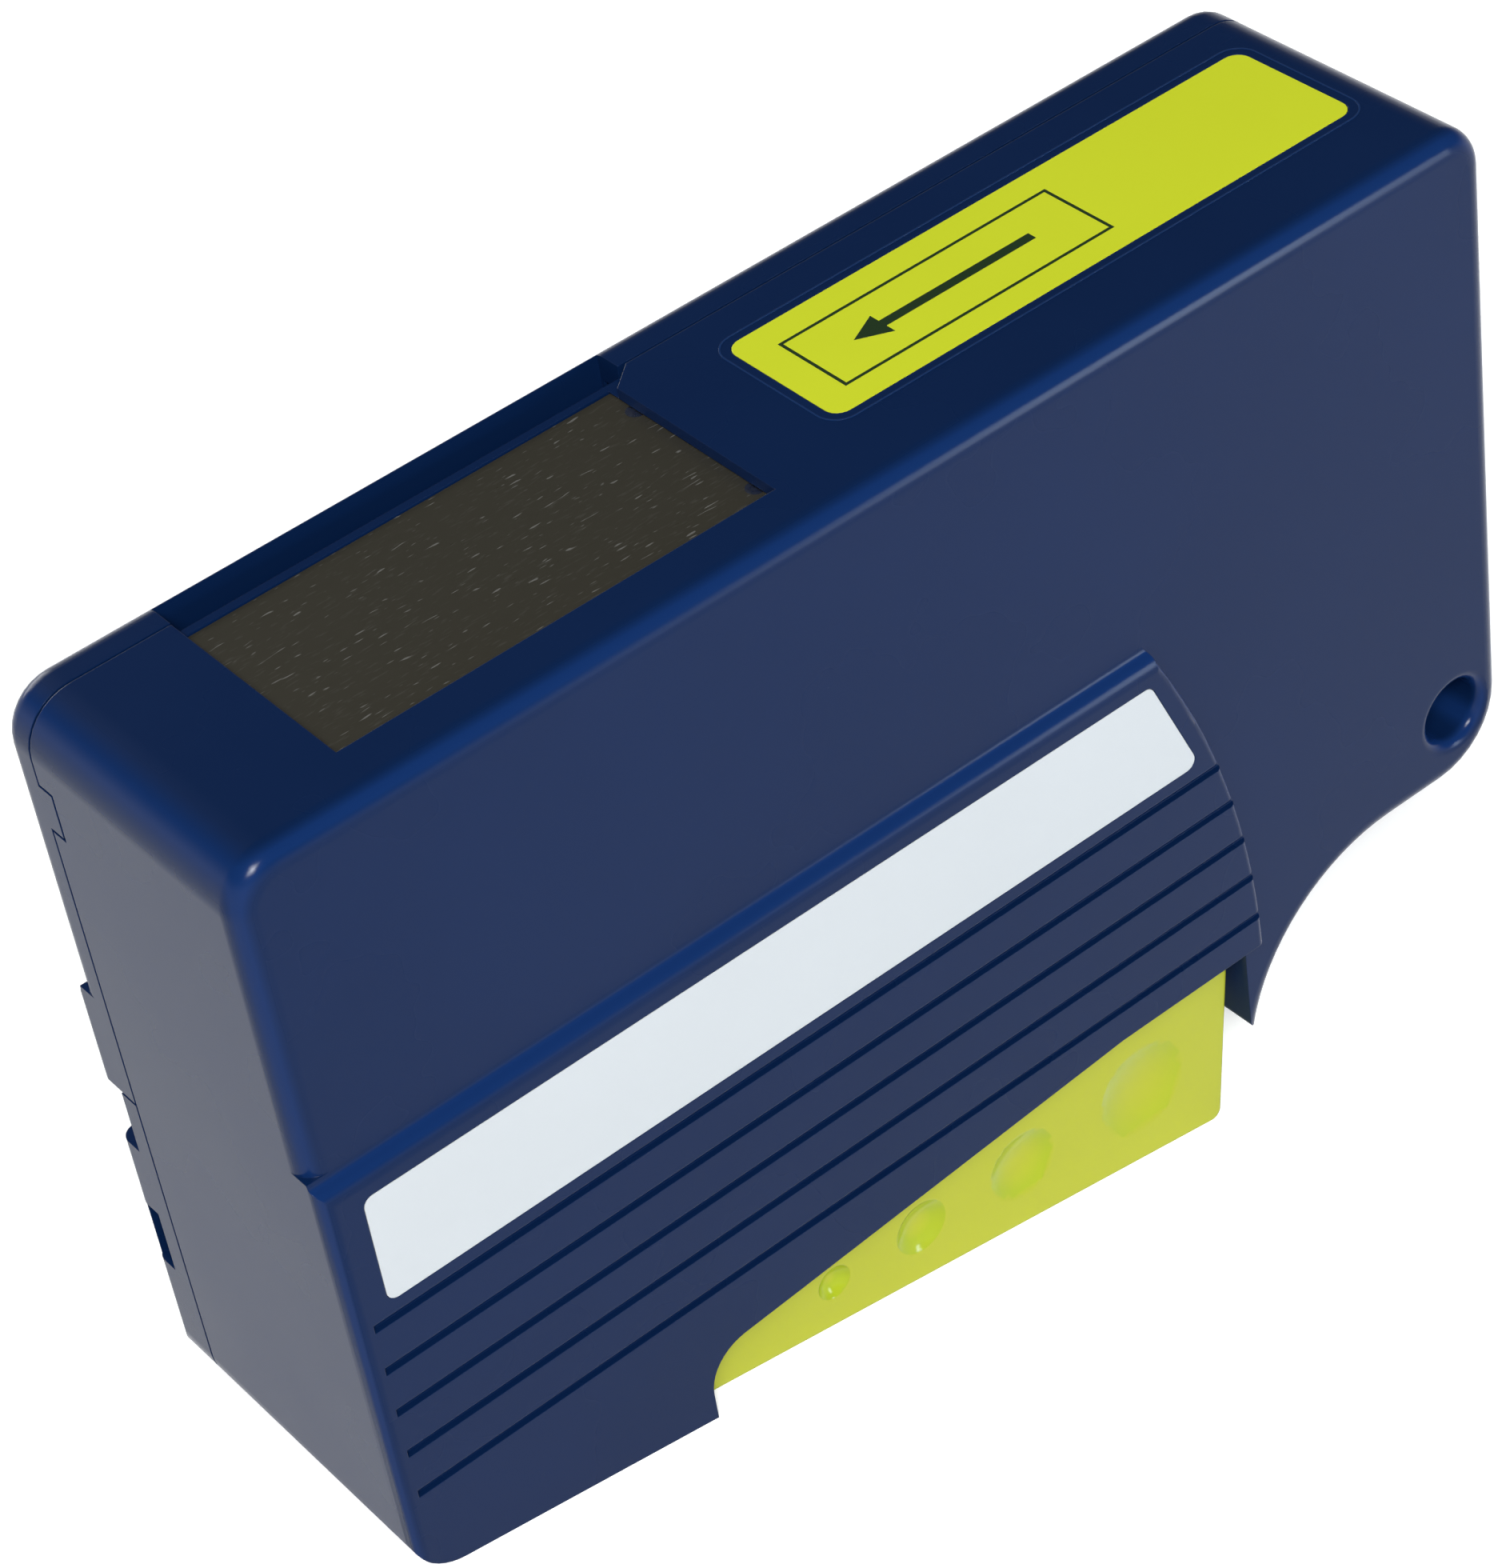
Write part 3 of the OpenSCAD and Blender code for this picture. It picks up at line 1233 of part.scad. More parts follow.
module shutter_slide() {
    pitch_z = shutter_axle[1] + pitch_r(shutter_wheel_teeth);
    pitch_x = PI * gear_module;
    // A rack tooth stands half a pitch from the wheel's tooth nearest its top
    lead = shutter_axle[0] - (shutter_turn - 90) * PI / 180 * pitch_r(shutter_wheel_teeth) + pitch_x / 2;
    right = shutter_axle[0] + rack_end_teeth * pitch_x;
    first = ceil((shutter_axle[0] - shutter_travel - rack_end_teeth * pitch_x - lead) / pitch_x);
    last = floor((right - lead) / pitch_x);
    half_tip = pitch_x / 4 - backlash - addendum * tan(pressure);
    half_root = pitch_x / 4 - backlash + dedendum * tan(pressure);
    bar_left = min(slide_x, lead + (first - 1) * pitch_x);
    bar_right = lead + (last + 1) * pitch_x;
    color("ivory") {
        difference() {
            union() {
                block([slide_x, slide_x + slide_bar_w],
                    [layer_b, seam_y - window_rail - rear_ledge_w - pass_gap], [slide_z - slide_t, slide_z]);
                // Its foot in the rack
                block([slide_x, slide_x + slide_bar_w], [layer_b, layer_b + rack_bar_t],
                    [rack_root_z, slide_z]);
            }
            for (c = rivet_at) translate([c[0], c[1], -far]) cylinder(r = rivet_r, h = far);
        }
        along_y(layer_b, layer_b + rack_bar_t) {
            polygon(concat([[bar_left, slide_z - slide_t], [bar_left, rack_root_z]],
                [for (i = [first:last]) let(x = lead + i * pitch_x) each [[x - half_root, rack_root_z],
                    [x - half_tip, pitch_z - addendum], [x + half_tip, pitch_z - addendum],
                    [x + half_root, rack_root_z]]],
                [[bar_right, rack_root_z], [bar_right, slide_z - slide_t]]));
        }
    }
}

module rear_door() {
    color("midnightblue") difference() {
        union() {
            difference() {
                intersection() {
                    on_back() half_case();
                    block([-far, far], [seam_y + seam_gap, far], [-door_drop, far]);
                }
                block([wall, case_l - wall], [-far, case_t - door_skin], [door_skin - door_drop, -door_top]);
                block([wall, case_l - wall], [-far, finger_y - pass_gap], [-far, -door_top]);
                // Pocket behind the window
                block([window_x + label_gap, window_x + window_l + window_cut_x - cut],
                    [-far, case_t - door_rim], [-door_top - cut, far]);
            }
            for (x = hinge_at) {
                hinge_rod(x, knuckle_w, hinge_r);
                block([x - knuckle_w / 2, x + knuckle_w / 2], [hinge_y - hinge_r, hinge_y + hinge_r],
                    [-hinge_drop, cut - door_drop]);
            }
            for (x = [0, case_l - tongue_t])
                block([x, x + tongue_t], [seam_y - tongue_reach, seam_y + wall],
                    [-tongue_top - tongue_h, -tongue_top]);
        }
        for (x = hinge_at) hinge_rod(x, hinge_l, hinge_pin_r + run_gap);
    }
}

module door_hinge_pins() {
    color("silver") for (x = hinge_at) hinge_rod(x, hinge_l, hinge_pin_r);
}

stand() front_housing();
stand() rear_grip();
stand() housing_screws();
stand() front_label();
stand() top_label();
stand() window_plate();
stand() inner_plate();
stand() inner_plate_screws();
stand() gear_pins();
stand() lever();
stand() lever_rack();
stand() lever_pivot_pin();
stand() lever_spring();
stand() idler_gear();
stand() drive_gear();
stand() drive_pawl();
stand() drive_pawl_spring();
stand() holding_pawl();
stand() holding_pawl_spring();
stand() takeup_spindle();
stand() ratchet_wheel();
stand() takeup_reel();
stand() used_tape_roll();
stand() supply_spindle();
stand() brake_washer();
stand() supply_reel();
stand() fresh_tape_roll();
stand() shutter_gear();
stand() shutter_slide();
stand() shutter_plate();
stand() shutter_rivets();
stand() cartridge_front_frame();
stand() cartridge_rear_frame();
stand() cartridge_posts();
stand() pad_holder();
stand() cleaning_pad();
stand() tape_guide_pins();
stand() cleaning_tape();
stand() rear_door();
stand() door_hinge_pins();
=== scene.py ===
# %% [markdown]
# # A reel cleaner for fibre optic connectors
# The tool is held in the palm. A squeeze of its green lever slides a metal shutter open and winds
# fresh cleaning tape past the window in its top.
#
# The rigid parts come from a imported CAD model, so their shapes stay as they are. This lesson gives
# them the surfaces that the real tool has: satin moulded plastic, a scratched metal shutter, printed
# film labels and a soft studio around them. Most parts only get a material. A new piece takes a part's
# place only where it has to look smoother.

# %% Load the CAD model and keep its box
import json
import math

import bmesh
import bpy
from mathutils import Euler, Matrix, Vector


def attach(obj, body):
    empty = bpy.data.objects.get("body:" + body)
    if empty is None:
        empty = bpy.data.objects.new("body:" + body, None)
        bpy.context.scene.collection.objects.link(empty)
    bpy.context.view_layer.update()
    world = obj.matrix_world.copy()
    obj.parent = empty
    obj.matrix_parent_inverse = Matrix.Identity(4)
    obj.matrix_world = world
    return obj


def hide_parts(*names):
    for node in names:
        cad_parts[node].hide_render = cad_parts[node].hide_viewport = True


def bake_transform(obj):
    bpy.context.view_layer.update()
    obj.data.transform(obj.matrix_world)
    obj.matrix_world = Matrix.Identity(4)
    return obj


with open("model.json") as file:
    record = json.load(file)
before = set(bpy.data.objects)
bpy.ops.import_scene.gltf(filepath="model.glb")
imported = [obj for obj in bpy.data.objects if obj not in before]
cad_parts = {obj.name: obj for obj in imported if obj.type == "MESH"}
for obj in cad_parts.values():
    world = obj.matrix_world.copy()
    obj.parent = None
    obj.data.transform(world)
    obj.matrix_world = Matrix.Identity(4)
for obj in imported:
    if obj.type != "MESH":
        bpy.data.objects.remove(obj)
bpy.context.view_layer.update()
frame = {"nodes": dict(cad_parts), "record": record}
nodes = frame["nodes"]
print("loaded", len(nodes), "CAD nodes")

# %% [markdown]
# The case was drawn flat in the CAD source, in millimetres: x along it from its left end, y from
# its front face to the back, and z upwards from its top face. It was then tipped onto its foot.
# A piece could be hung from a turned empty to follow that step, but the export needs every object
# unturned at the origin. So the step is kept as one matrix, and is applied to a piece's mesh.

# %% Millimetres of the flat case to metres of the standing one
MM = 0.001
LEAN = math.radians(9.4)
# The foot's depth below the top face, the case's size, and the radii of the two corners that
# stand furthest out when it leans.
FOOT_DROP = 77.62
CASE_L, CASE_T, CASE_H = 130.0, 32.7, 69.7
TOP_LEFT_R, LOW_RIGHT_R = 4.8, 8.0

# The standing case reaches from its rounded top left corner to its low right one.
stand_left = TOP_LEFT_R * (math.cos(LEAN) + math.sin(LEAN) - 1)
stand_right = (
    (CASE_L - LOW_RIGHT_R) * math.cos(LEAN) + (CASE_H - LOW_RIGHT_R) * math.sin(LEAN) + LOW_RIGHT_R
)
STAND = (
    Matrix.Scale(MM, 4)
    @ Matrix.Translation((-(stand_left + stand_right) / 2, -CASE_T / 2, FOOT_DROP * math.cos(LEAN)))
    @ Matrix.Rotation(-LEAN, 4, "Y")
)
strap_hole = STAND @ Vector((123.9, CASE_T / 2, -61.9))
print("the strap hole is at", tuple(round(v, 4) for v in strap_hole), "metres")

# %% [markdown]
# The photograph was taken with a long lens from the front left and above. A camera could be set by
# eye, but the case has three sets of parallel edges, and where each set meets in the distance gives
# the camera's heading and lens. With those numbers the render can be laid over the photograph.

# %% Camera
scene = bpy.context.scene
TILT_DOWN, ROLL, HEADING = 34.708, 0.04, -38.776


def put(name, data):
    """An object at the origin of the scene, made of a mesh, a lamp or a camera."""
    made = bpy.data.objects.new(name, data)
    scene.collection.objects.link(made)
    return made


camera_data = bpy.data.cameras.new("photo_camera")
camera_data.sensor_fit = "VERTICAL"
camera_data.sensor_height = 36.0
camera_data.lens = 104.92
camera_data.clip_start = 0.01
camera = put("photo_camera", camera_data)
camera.location = (-0.20714, -0.24901, 0.27057)
camera.rotation_euler = Euler([math.radians(a) for a in (90 - TILT_DOWN, ROLL, HEADING)])
scene.camera = camera
scene.view_settings.view_transform = "Standard"
print("camera at", tuple(round(v, 3) for v in camera.location), "lens", round(camera_data.lens, 2))

# %% [markdown]
# A material is a tree of nodes. It could be wired by hand in the Shader Editor, where each node is
# dragged out and set. In code, one small function does that for a node of any kind, so a whole
# material reads as a short list. Colours are written as the hex codes that a colour picker shows,
# and one function turns them into the linear light that Blender reckons with.

# %% Colours and nodes


def linear(hex_colour):
    """An sRGB hex colour as the linear red, green, blue and alpha that shaders use."""
    channels = [int(hex_colour[i : i + 2], 16) / 255 for i in (1, 3, 5)]
    light = [c / 12.92 if c <= 0.04045 else ((c + 0.055) / 1.055) ** 2.4 for c in channels]
    return (*light, 1.0)


def add(tree, kind, settings=None, links=None, place=(0, 0)):
    """Adds a shader node, gives its settings or socket values, and links its inputs."""
    made = tree.nodes.new(kind)
    made.location = place
    for name, value in (settings or {}).items():
        if isinstance(name, str) and hasattr(made, name):
            setattr(made, name, value)
        else:
            made.inputs[name].default_value = value
    for name, source in (links or {}).items():
        tree.links.new(source, made.inputs[name])
    return made


def new_material(name):
    """A material with an empty node tree, and that tree."""
    material = bpy.data.materials.new(name)
    material.use_nodes = True
    material.node_tree.nodes.clear()
    return material, material.node_tree


def background_seen(tree):
    """A socket that is 1 where the camera, a reflection or a clear piece sees this surface."""
    path = add(tree, "ShaderNodeLightPath", place=(-900, 300))
    seen = add(tree, "ShaderNodeMath", {"operation": "ADD"},
               {0: path.outputs["Is Camera Ray"], 1: path.outputs["Is Glossy Ray"]}, (-650, 350))
    seen = add(tree, "ShaderNodeMath", {"operation": "ADD", "use_clamp": True},
               {0: seen.outputs[0], 1: path.outputs["Is Transmission Ray"]}, (-450, 350))
    return seen.outputs[0]


WHITE = linear("#FFFFFF")
print("white is", WHITE, "and the middle grey #808080 is", round(linear("#808080")[0], 3))

# %% [markdown]
# The world stands for the room. A wrapped panorama of a real studio would light the tool well, but
# no picture is needed for something this plain. What lights the surfaces is a faint even sky. What
# they mirror is white at the horizon and dark overhead, as a room is, so that the satin top keeps
# its deep blue. The camera itself sees plain white.

# %% World
# A mirrored direction is white up to this height, and all but dark from the second one, as the
# sine of its angle above the horizon: 3 and 20 degrees.
PALE_UP_TO, DARK_FROM = 0.05, 0.35
OVERHEAD = 0.05

world = bpy.data.worlds.new("studio_world")
scene.world = world
world.use_nodes = True
tree = world.node_tree
tree.nodes.clear()
direction = add(tree, "ShaderNodeTexCoord", place=(-1100, 0))
height = add(tree, "ShaderNodeSeparateXYZ", {}, {0: direction.outputs["Generated"]}, (-900, 0))
mirrored = add(tree, "ShaderNodeMapRange",
               {"From Min": PALE_UP_TO, "From Max": DARK_FROM, "To Min": 1.0, "To Max": OVERHEAD},
               {"Value": height.outputs["Z"]}, (-650, 50))
path = add(tree, "ShaderNodeLightPath", place=(-650, -200))
shown = add(tree, "ShaderNodeMath", {"operation": "MAXIMUM"},
            {0: mirrored.outputs["Result"], 1: path.outputs["Is Camera Ray"]}, (-450, 50))
backdrop = add(tree, "ShaderNodeBackground", {"Color": WHITE},
               {"Strength": shown.outputs["Value"]}, (-200, 200))
sky = add(tree, "ShaderNodeBackground", {"Color": linear("#E9EEF4"), "Strength": 0.2}, place=(-200, 0))
mixed = add(tree, "ShaderNodeMixShader", {},
            {0: background_seen(tree), 1: sky.outputs[0], 2: backdrop.outputs[0]})
add(tree, "ShaderNodeOutputWorld", {}, {"Surface": mixed.outputs[0]}, (200, 0))
print("world of", len(tree.nodes), "nodes")

# %% [markdown]
# A dark satin object shows its lamps more than its colour, so each lamp has one task. A soft one at
# the front left, high up, gives the flat faces their plain light, and a small one in front of it
# puts a bright dot on each ball corner. A narrow cool one stands low at the front right: the flat
# faces mirror it away from the camera and only the rounded edges catch it, which draws the long
# highlight. A faint one behind keeps the back readable. Sun or point lamps would draw hard dots
# and hard shadows, so all four are area lamps.

# %% Lamps


def lamp(name, at, aim, size, power, colour="#FFFFFF"):
    """A rectangular area lamp at a point, aimed at another, in metres and watts."""
    data = bpy.data.lights.new(name, "AREA")
    data.shape = "RECTANGLE"
    data.size, data.size_y = size
    data.energy = power
    data.color = linear(colour)[:3]
    made = put(name, data)
    made.location = at
    made.rotation_euler = (Vector(aim) - Vector(at)).to_track_quat("-Z", "Y").to_euler()
    print(name, "of", power, "W,", round(math.dist(at, aim), 2), "m away")


MIDDLE = (0, 0, 0.05)
lamp("front_softbox", (-0.62, -0.72, 0.78), MIDDLE, (0.4, 0.4), 8.4)
lamp("corner_spot", (-0.60, -0.72, 0.76), MIDDLE, (0.14, 0.14), 2.4)
lamp("edge_strip", (0.42, -0.66, 0.21), (0.05, 0, 0.07), (0.14, 0.3), 1.7, "#DCEDFF")
lamp("back_fill", (-0.1, 0.95, 0.3), MIDDLE, (0.5, 0.4), 3.0)

# %% [markdown]
# The floor is a sheet of matt paper. More light would make it white, but would bleach the tool as
# well. So the paper glows a little, and only where it is seen: it looks white, it still carries the
# tool's soft shadow, and it throws no more light on the tool than paper does. Past the shadow it
# fades to plain white, so that no lamp draws an edge on it.

# %% Floor
FLOOR_HALF = 3.0
# Metres from under the tool's middle.
SHADOW_ENDS, PLAIN_FROM = 0.25, 0.7

floor_material, tree = new_material("paper_backdrop")
paper = add(tree, "ShaderNodeBsdfDiffuse", {"Color": linear("#F4F4F2"), "Roughness": 0.8},
            place=(-400, 0))
glow = add(tree, "ShaderNodeEmission", {"Color": WHITE, "Strength": 0.4}, place=(-400, -150))
near = add(tree, "ShaderNodeAddShader", {}, {0: paper.outputs[0], 1: glow.outputs[0]}, (-200, -50))
spot = add(tree, "ShaderNodeTexCoord", place=(-900, -300))
away = add(tree, "ShaderNodeVectorMath", {"operation": "LENGTH"},
           {0: spot.outputs["Object"]}, (-700, -300))
fade = add(tree, "ShaderNodeMapRange", {"From Min": SHADOW_ENDS, "From Max": PLAIN_FROM},
           {"Value": away.outputs["Value"]}, (-500, -300))
plain = add(tree, "ShaderNodeEmission", {"Color": WHITE, "Strength": 1.0}, place=(-400, -500))
lit = add(tree, "ShaderNodeMixShader", {},
          {0: fade.outputs["Result"], 1: near.outputs[0], 2: plain.outputs[0]}, (-100, -200))
mixed = add(tree, "ShaderNodeMixShader", {},
            {0: background_seen(tree), 1: paper.outputs[0], 2: lit.outputs[0]})
add(tree, "ShaderNodeOutputMaterial", {}, {"Surface": mixed.outputs[0]}, (200, 0))

bm = bmesh.new()
bmesh.ops.create_grid(bm, x_segments=1, y_segments=1, size=FLOOR_HALF)
floor_mesh = bpy.data.meshes.new("floor")
bm.to_mesh(floor_mesh)
bm.free()
floor_mesh.materials.append(floor_material)
floor = put("floor", floor_mesh)
print("floor", 2 * FLOOR_HALF, "m square")

# %% [markdown]
# The case is injection-moulded ABS, dyed navy, from a mould with a fine spark texture. The texture
# scatters light, so the flat faces look soft and greyish. Hands polish what stands out, so the rounded
# edges and the lever's domes are smoother. The case's rounded edges are also painted a lighter blue, a
# painted highlight, and the lever's domes and edges a deeper green, a painted shade.
#
# The smoother, painted edges could be painted on by hand or baked from the mesh, but both need a
# picture or a fine mesh. Here the normal finds them: on a flat face of the case the normal lies along
# an axis, and its largest part is nearly 1, while on a rounded edge it is less. That mask lowers the
# roughness and turns the colour: a lighter blue on the case's rounded edges as a painted highlight, a
# deeper green on the lever's domes and edges as a painted shade. A fine bump gives the grain, a slow
# noise gives the slight shading of handled plastic, and a Bevel node softens corners that no real
# mould leaves quite sharp.

# %% How moulded plastic is built
# Handling leaves patches about as wide as a finger, and the ramp uses the middle of the noise.
PATCH_MM = 22.2
PATCH_DARK, PATCH_LIGHT = 0.35, 0.65
# How far the patches move the roughness, and how much smoother a polished edge is.
PATCH_SMOOTHER, PATCH_ROUGHER, POLISH = 0.04, 0.05, 0.09
GRAIN_HIGH_MM = 0.02


def plastic(name, colour, rough, grain_mm=0.25, grain=0.12, tint=0.06, edge_mm=0.3, specular=0.5,
            painted_edge_tone=None, curved=(0.97, 0.8)):
    """Moulded plastic with an even colour, a fine grain, softened corners, and smoother rounded edges
    painted in a second colour as painted light.
    """
    material, tree = new_material(name)
    coords = add(tree, "ShaderNodeTexCoord", place=(-1200, 0))
    # One cell of a noise is about as wide as its scale's reciprocal, in metres.
    grain_noise = add(tree, "ShaderNodeTexNoise", {"Scale": 1.0 / (grain_mm * MM), "Detail": 2.0},
                      {"Vector": coords.outputs["Object"]}, (-950, -200))
    patches = add(tree, "ShaderNodeTexNoise", {"Scale": 1.0 / (PATCH_MM * MM), "Detail": 3.0},
                  {"Vector": coords.outputs["Object"]}, (-950, 150))

    light = linear(colour)
    shade = add(tree, "ShaderNodeValToRGB", {}, {"Fac": patches.outputs["Fac"]}, (-700, 200))
    dark_end, light_end = shade.color_ramp.elements
    dark_end.position, dark_end.color = PATCH_DARK, [c * (1 - tint) for c in light[:3]] + [1.0]
    light_end.position, light_end.color = PATCH_LIGHT, light
    tone = shade.outputs["Color"]
    gloss = add(tree, "ShaderNodeMapRange",
                {"To Min": rough - PATCH_SMOOTHER, "To Max": rough + PATCH_ROUGHER},
                {"Value": patches.outputs["Fac"]}, (-700, -50)).outputs["Result"]

    if painted_edge_tone:
        # The normal is turned back to the flat case's axes, where its largest part is compared
        # with the two sizes at which the mask starts and is full.
        facing = add(tree, "ShaderNodeMapping", {"Rotation": (0, LEAN, 0), "vector_type": "NORMAL"},
                     {"Vector": coords.outputs["Normal"]}, (-950, 600))
        size = add(tree, "ShaderNodeVectorMath", {"operation": "ABSOLUTE"},
                   {0: facing.outputs[0]}, (-750, 600))
        axes = add(tree, "ShaderNodeSeparateXYZ", {}, {0: size.outputs[0]}, (-600, 600))
        most = add(tree, "ShaderNodeMath", {"operation": "MAXIMUM"},
                   {0: axes.outputs["X"], 1: axes.outputs["Y"]}, (-450, 650))
        most = add(tree, "ShaderNodeMath", {"operation": "MAXIMUM"},
                   {0: most.outputs[0], 1: axes.outputs["Z"]}, (-300, 600))
        rounded = add(tree, "ShaderNodeMapRange", {"From Min": curved[0], "From Max": curved[1]},
                      {"Value": most.outputs[0]}, (-150, 600))
        # Painted light: the rounded parts take the second colour, a painted highlight on the navy case
        # and a painted shade on the green lever.
        tone = add(tree, "ShaderNodeMix", {"data_type": "RGBA", "B": linear(painted_edge_tone)},
                   {"Factor": rounded.outputs["Result"], "A": tone}, (0, 500)).outputs["Result"]
        gloss = add(tree, "ShaderNodeMath", {"operation": "MULTIPLY_ADD", 1: -POLISH},
                    {0: rounded.outputs["Result"], 2: gloss}, (-450, -50)).outputs["Value"]

    corner = add(tree, "ShaderNodeBevel", {"samples": 6, "Radius": edge_mm * MM}, place=(-700, -300))
    bump = add(tree, "ShaderNodeBump", {"Strength": grain, "Distance": GRAIN_HIGH_MM * MM},
               {"Height": grain_noise.outputs["Fac"], "Normal": corner.outputs["Normal"]},
               (-450, -250))
    shader = add(tree, "ShaderNodeBsdfPrincipled", {"IOR": 1.52, "Specular IOR Level": specular},
                 {"Base Color": tone, "Roughness": gloss, "Normal": bump.outputs["Normal"]},
                 (-200, 0))
    add(tree, "ShaderNodeOutputMaterial", {}, {"Surface": shader.outputs[0]}, (100, 0))
    print(name, colour, "roughness", rough)
    return material


# %% [markdown]
# The tool is moulded in several plastics, each chosen for its task: tough ABS for the case and the
# lever, slippery acetal for the gears, and hard polystyrene for the reels. A material could be
# built for each from nothing, but they are made in the same way and differ only in numbers, so
# one function makes them all. The real grain of the mould is near 0.1 mm, too fine to show, so it
# is drawn 0.25 mm across.

# %% Plastics of the tool
# Navy ABS: satin, so the case looks nearly black where nothing lights it. Its rounded edges are
# painted a lighter blue, a painted highlight.
navy_abs = plastic("moulded_navy_abs", "#0C2650", rough=0.27, specular=0.16, grain=0.05,
                   edge_mm=0.12, painted_edge_tone="#123064")
# The same navy, drawn lighter as a painted highlight: a thin line that catches the light.
rim_highlight_abs = plastic("navy_abs_painted_highlight", "#1B3868", rough=0.2, specular=0.3, grain=0.03, edge_mm=0.02)
# Yellow-green ABS from a smooth mould: the domes are shallow, so their mask starts earlier. The domes
# and edges are painted a deeper green, a painted shade.
green_abs = plastic("moulded_green_abs", "#C8CB36", rough=0.2, tint=0.03, specular=0.28, grain=0.04,
                    painted_edge_tone="#BAC82C", curved=(1.0, 0.94))
# Acetal gears, left in their own milky white: waxy, with a broad sheen.
natural_acetal = plastic("natural_acetal", "#E4DFD0", rough=0.45, tint=0.04, edge_mm=0.15)
# Grey and dark ABS of the hidden frames and plates: matt, with no gloss to speak of.
grey_abs = plastic("moulded_grey_abs", "#868E96", rough=0.5, edge_mm=0.2)
dark_abs = plastic("moulded_dark_abs", "#33363B", rough=0.5, edge_mm=0.2)
# Pale blue polystyrene reels: harder and shinier than ABS.
reel_plastic = plastic("moulded_pale_blue_polystyrene", "#AFC0D3", rough=0.28, grain=0.05,
                       edge_mm=0.2)

# %% [markdown]
# Pins, springs and screws are drawn steel, and the pawls are stamped brass. Bare metal mirrors
# everything, so a single roughness looks like chrome. A fine noise that moves the roughness and
# the bump together breaks the mirror up, as the marks of drawing and stamping do. Fine meshes of
# such marks would look the same and cost far more.

# %% Metals
# The marks of drawing are near 0.01 mm, too fine to show, so the grain is drawn 0.4 mm across.
METAL_GRAIN_MM = 0.4
MARK_SMOOTHER, MARK_ROUGHER = 0.08, 0.1


def metal(name, colour, rough):
    """Bare metal with a fine even grain in its roughness and its bump."""
    material, tree = new_material(name)
    coords = add(tree, "ShaderNodeTexCoord", place=(-1200, 0))
    # Every pattern on metal is laid in the flat case's axes, as the sheet's brushing has to be.
    flat = add(tree, "ShaderNodeMapping", {"Rotation": (0, LEAN, 0)},
               {"Vector": coords.outputs["Object"]}, (-1000, 0))
    marks = add(tree, "ShaderNodeTexNoise", {"Scale": 1.0 / (METAL_GRAIN_MM * MM), "Detail": 3.0},
                {"Vector": flat.outputs["Vector"]}, (-800, 0))
    gloss = add(tree, "ShaderNodeMapRange",
                {"To Min": rough - MARK_SMOOTHER, "To Max": rough + MARK_ROUGHER},
                {"Value": marks.outputs["Fac"]}, (-550, -50))
    bump = add(tree, "ShaderNodeBump", {"Strength": 0.1, "Distance": 0.01 * MM},
               {"Height": marks.outputs["Fac"]}, (-450, -250))
    shader = add(tree, "ShaderNodeBsdfPrincipled", {"Base Color": linear(colour), "Metallic": 1.0},
                 {"Roughness": gloss.outputs["Result"], "Normal": bump.outputs["Normal"]}, (-200, 0))
    add(tree, "ShaderNodeOutputMaterial", {}, {"Surface": shader.outputs[0]}, (100, 0))
    print(name, colour, "roughness", rough)
    return material


# Drawn steel is bright and cool, spring wire is darker from its heat treatment, brass is warm.
steel = metal("drawn_steel", "#B9BCC0", rough=0.28)
spring_steel = metal("spring_steel_wire", "#8E9195", rough=0.35)
brass = metal("stamped_brass", "#C6A25A", rough=0.32)

# %% [markdown]
# The shutter is a thin sheet of steel with a dark coat, brushed along the case and scratched by
# years of connectors. The coat takes half of the mirror away, so it is half metallic. Scratches
# could be cut into the mesh or drawn as a picture. Noise that is stretched along one axis gives
# both the brushing and the scratches here, at any size, and never repeats: the brushing uses the
# whole noise, and the scratches only its rare peaks.

# %% Scratched shutter sheet
# The real scratches are finer than 0.05 mm, too fine to show, so they are drawn 0.24 mm wide.
BRUSH_MM, SCRATCH_MM = 0.35, 0.24

shutter_metal, tree = new_material("dark_coated_steel_sheet")
coords = add(tree, "ShaderNodeTexCoord", place=(-1600, 0))
# Brushing runs along the case, so the noise is stretched twelve times along x.
brush_map = add(tree, "ShaderNodeMapping", {"Rotation": (0, LEAN, 0), "Scale": (0.08, 1.0, 1.0)},
                {"Vector": coords.outputs["Object"]}, (-1400, 200))
brush = add(tree, "ShaderNodeTexNoise", {"Scale": 1.0 / (BRUSH_MM * MM), "Detail": 4.0},
            {"Vector": brush_map.outputs["Vector"]}, (-1200, 200))
# Scratches lie a little askew of the brushing: many faint ones all over, and fewer bright ones.
faint_map = add(tree, "ShaderNodeMapping",
                {"Rotation": (0, LEAN, math.radians(-15)), "Scale": (0.05, 1.0, 1.0)},
                {"Vector": coords.outputs["Object"]}, (-1400, -100))
faint_noise = add(tree, "ShaderNodeTexNoise", {"Scale": 1.0 / (SCRATCH_MM * MM), "Detail": 1.0},
                  {"Vector": faint_map.outputs["Vector"]}, (-1200, -100))
faint = add(tree, "ShaderNodeMapRange", {"From Min": 0.6, "From Max": 0.76, "To Max": 0.1},
            {"Value": faint_noise.outputs["Fac"]}, (-950, -100))
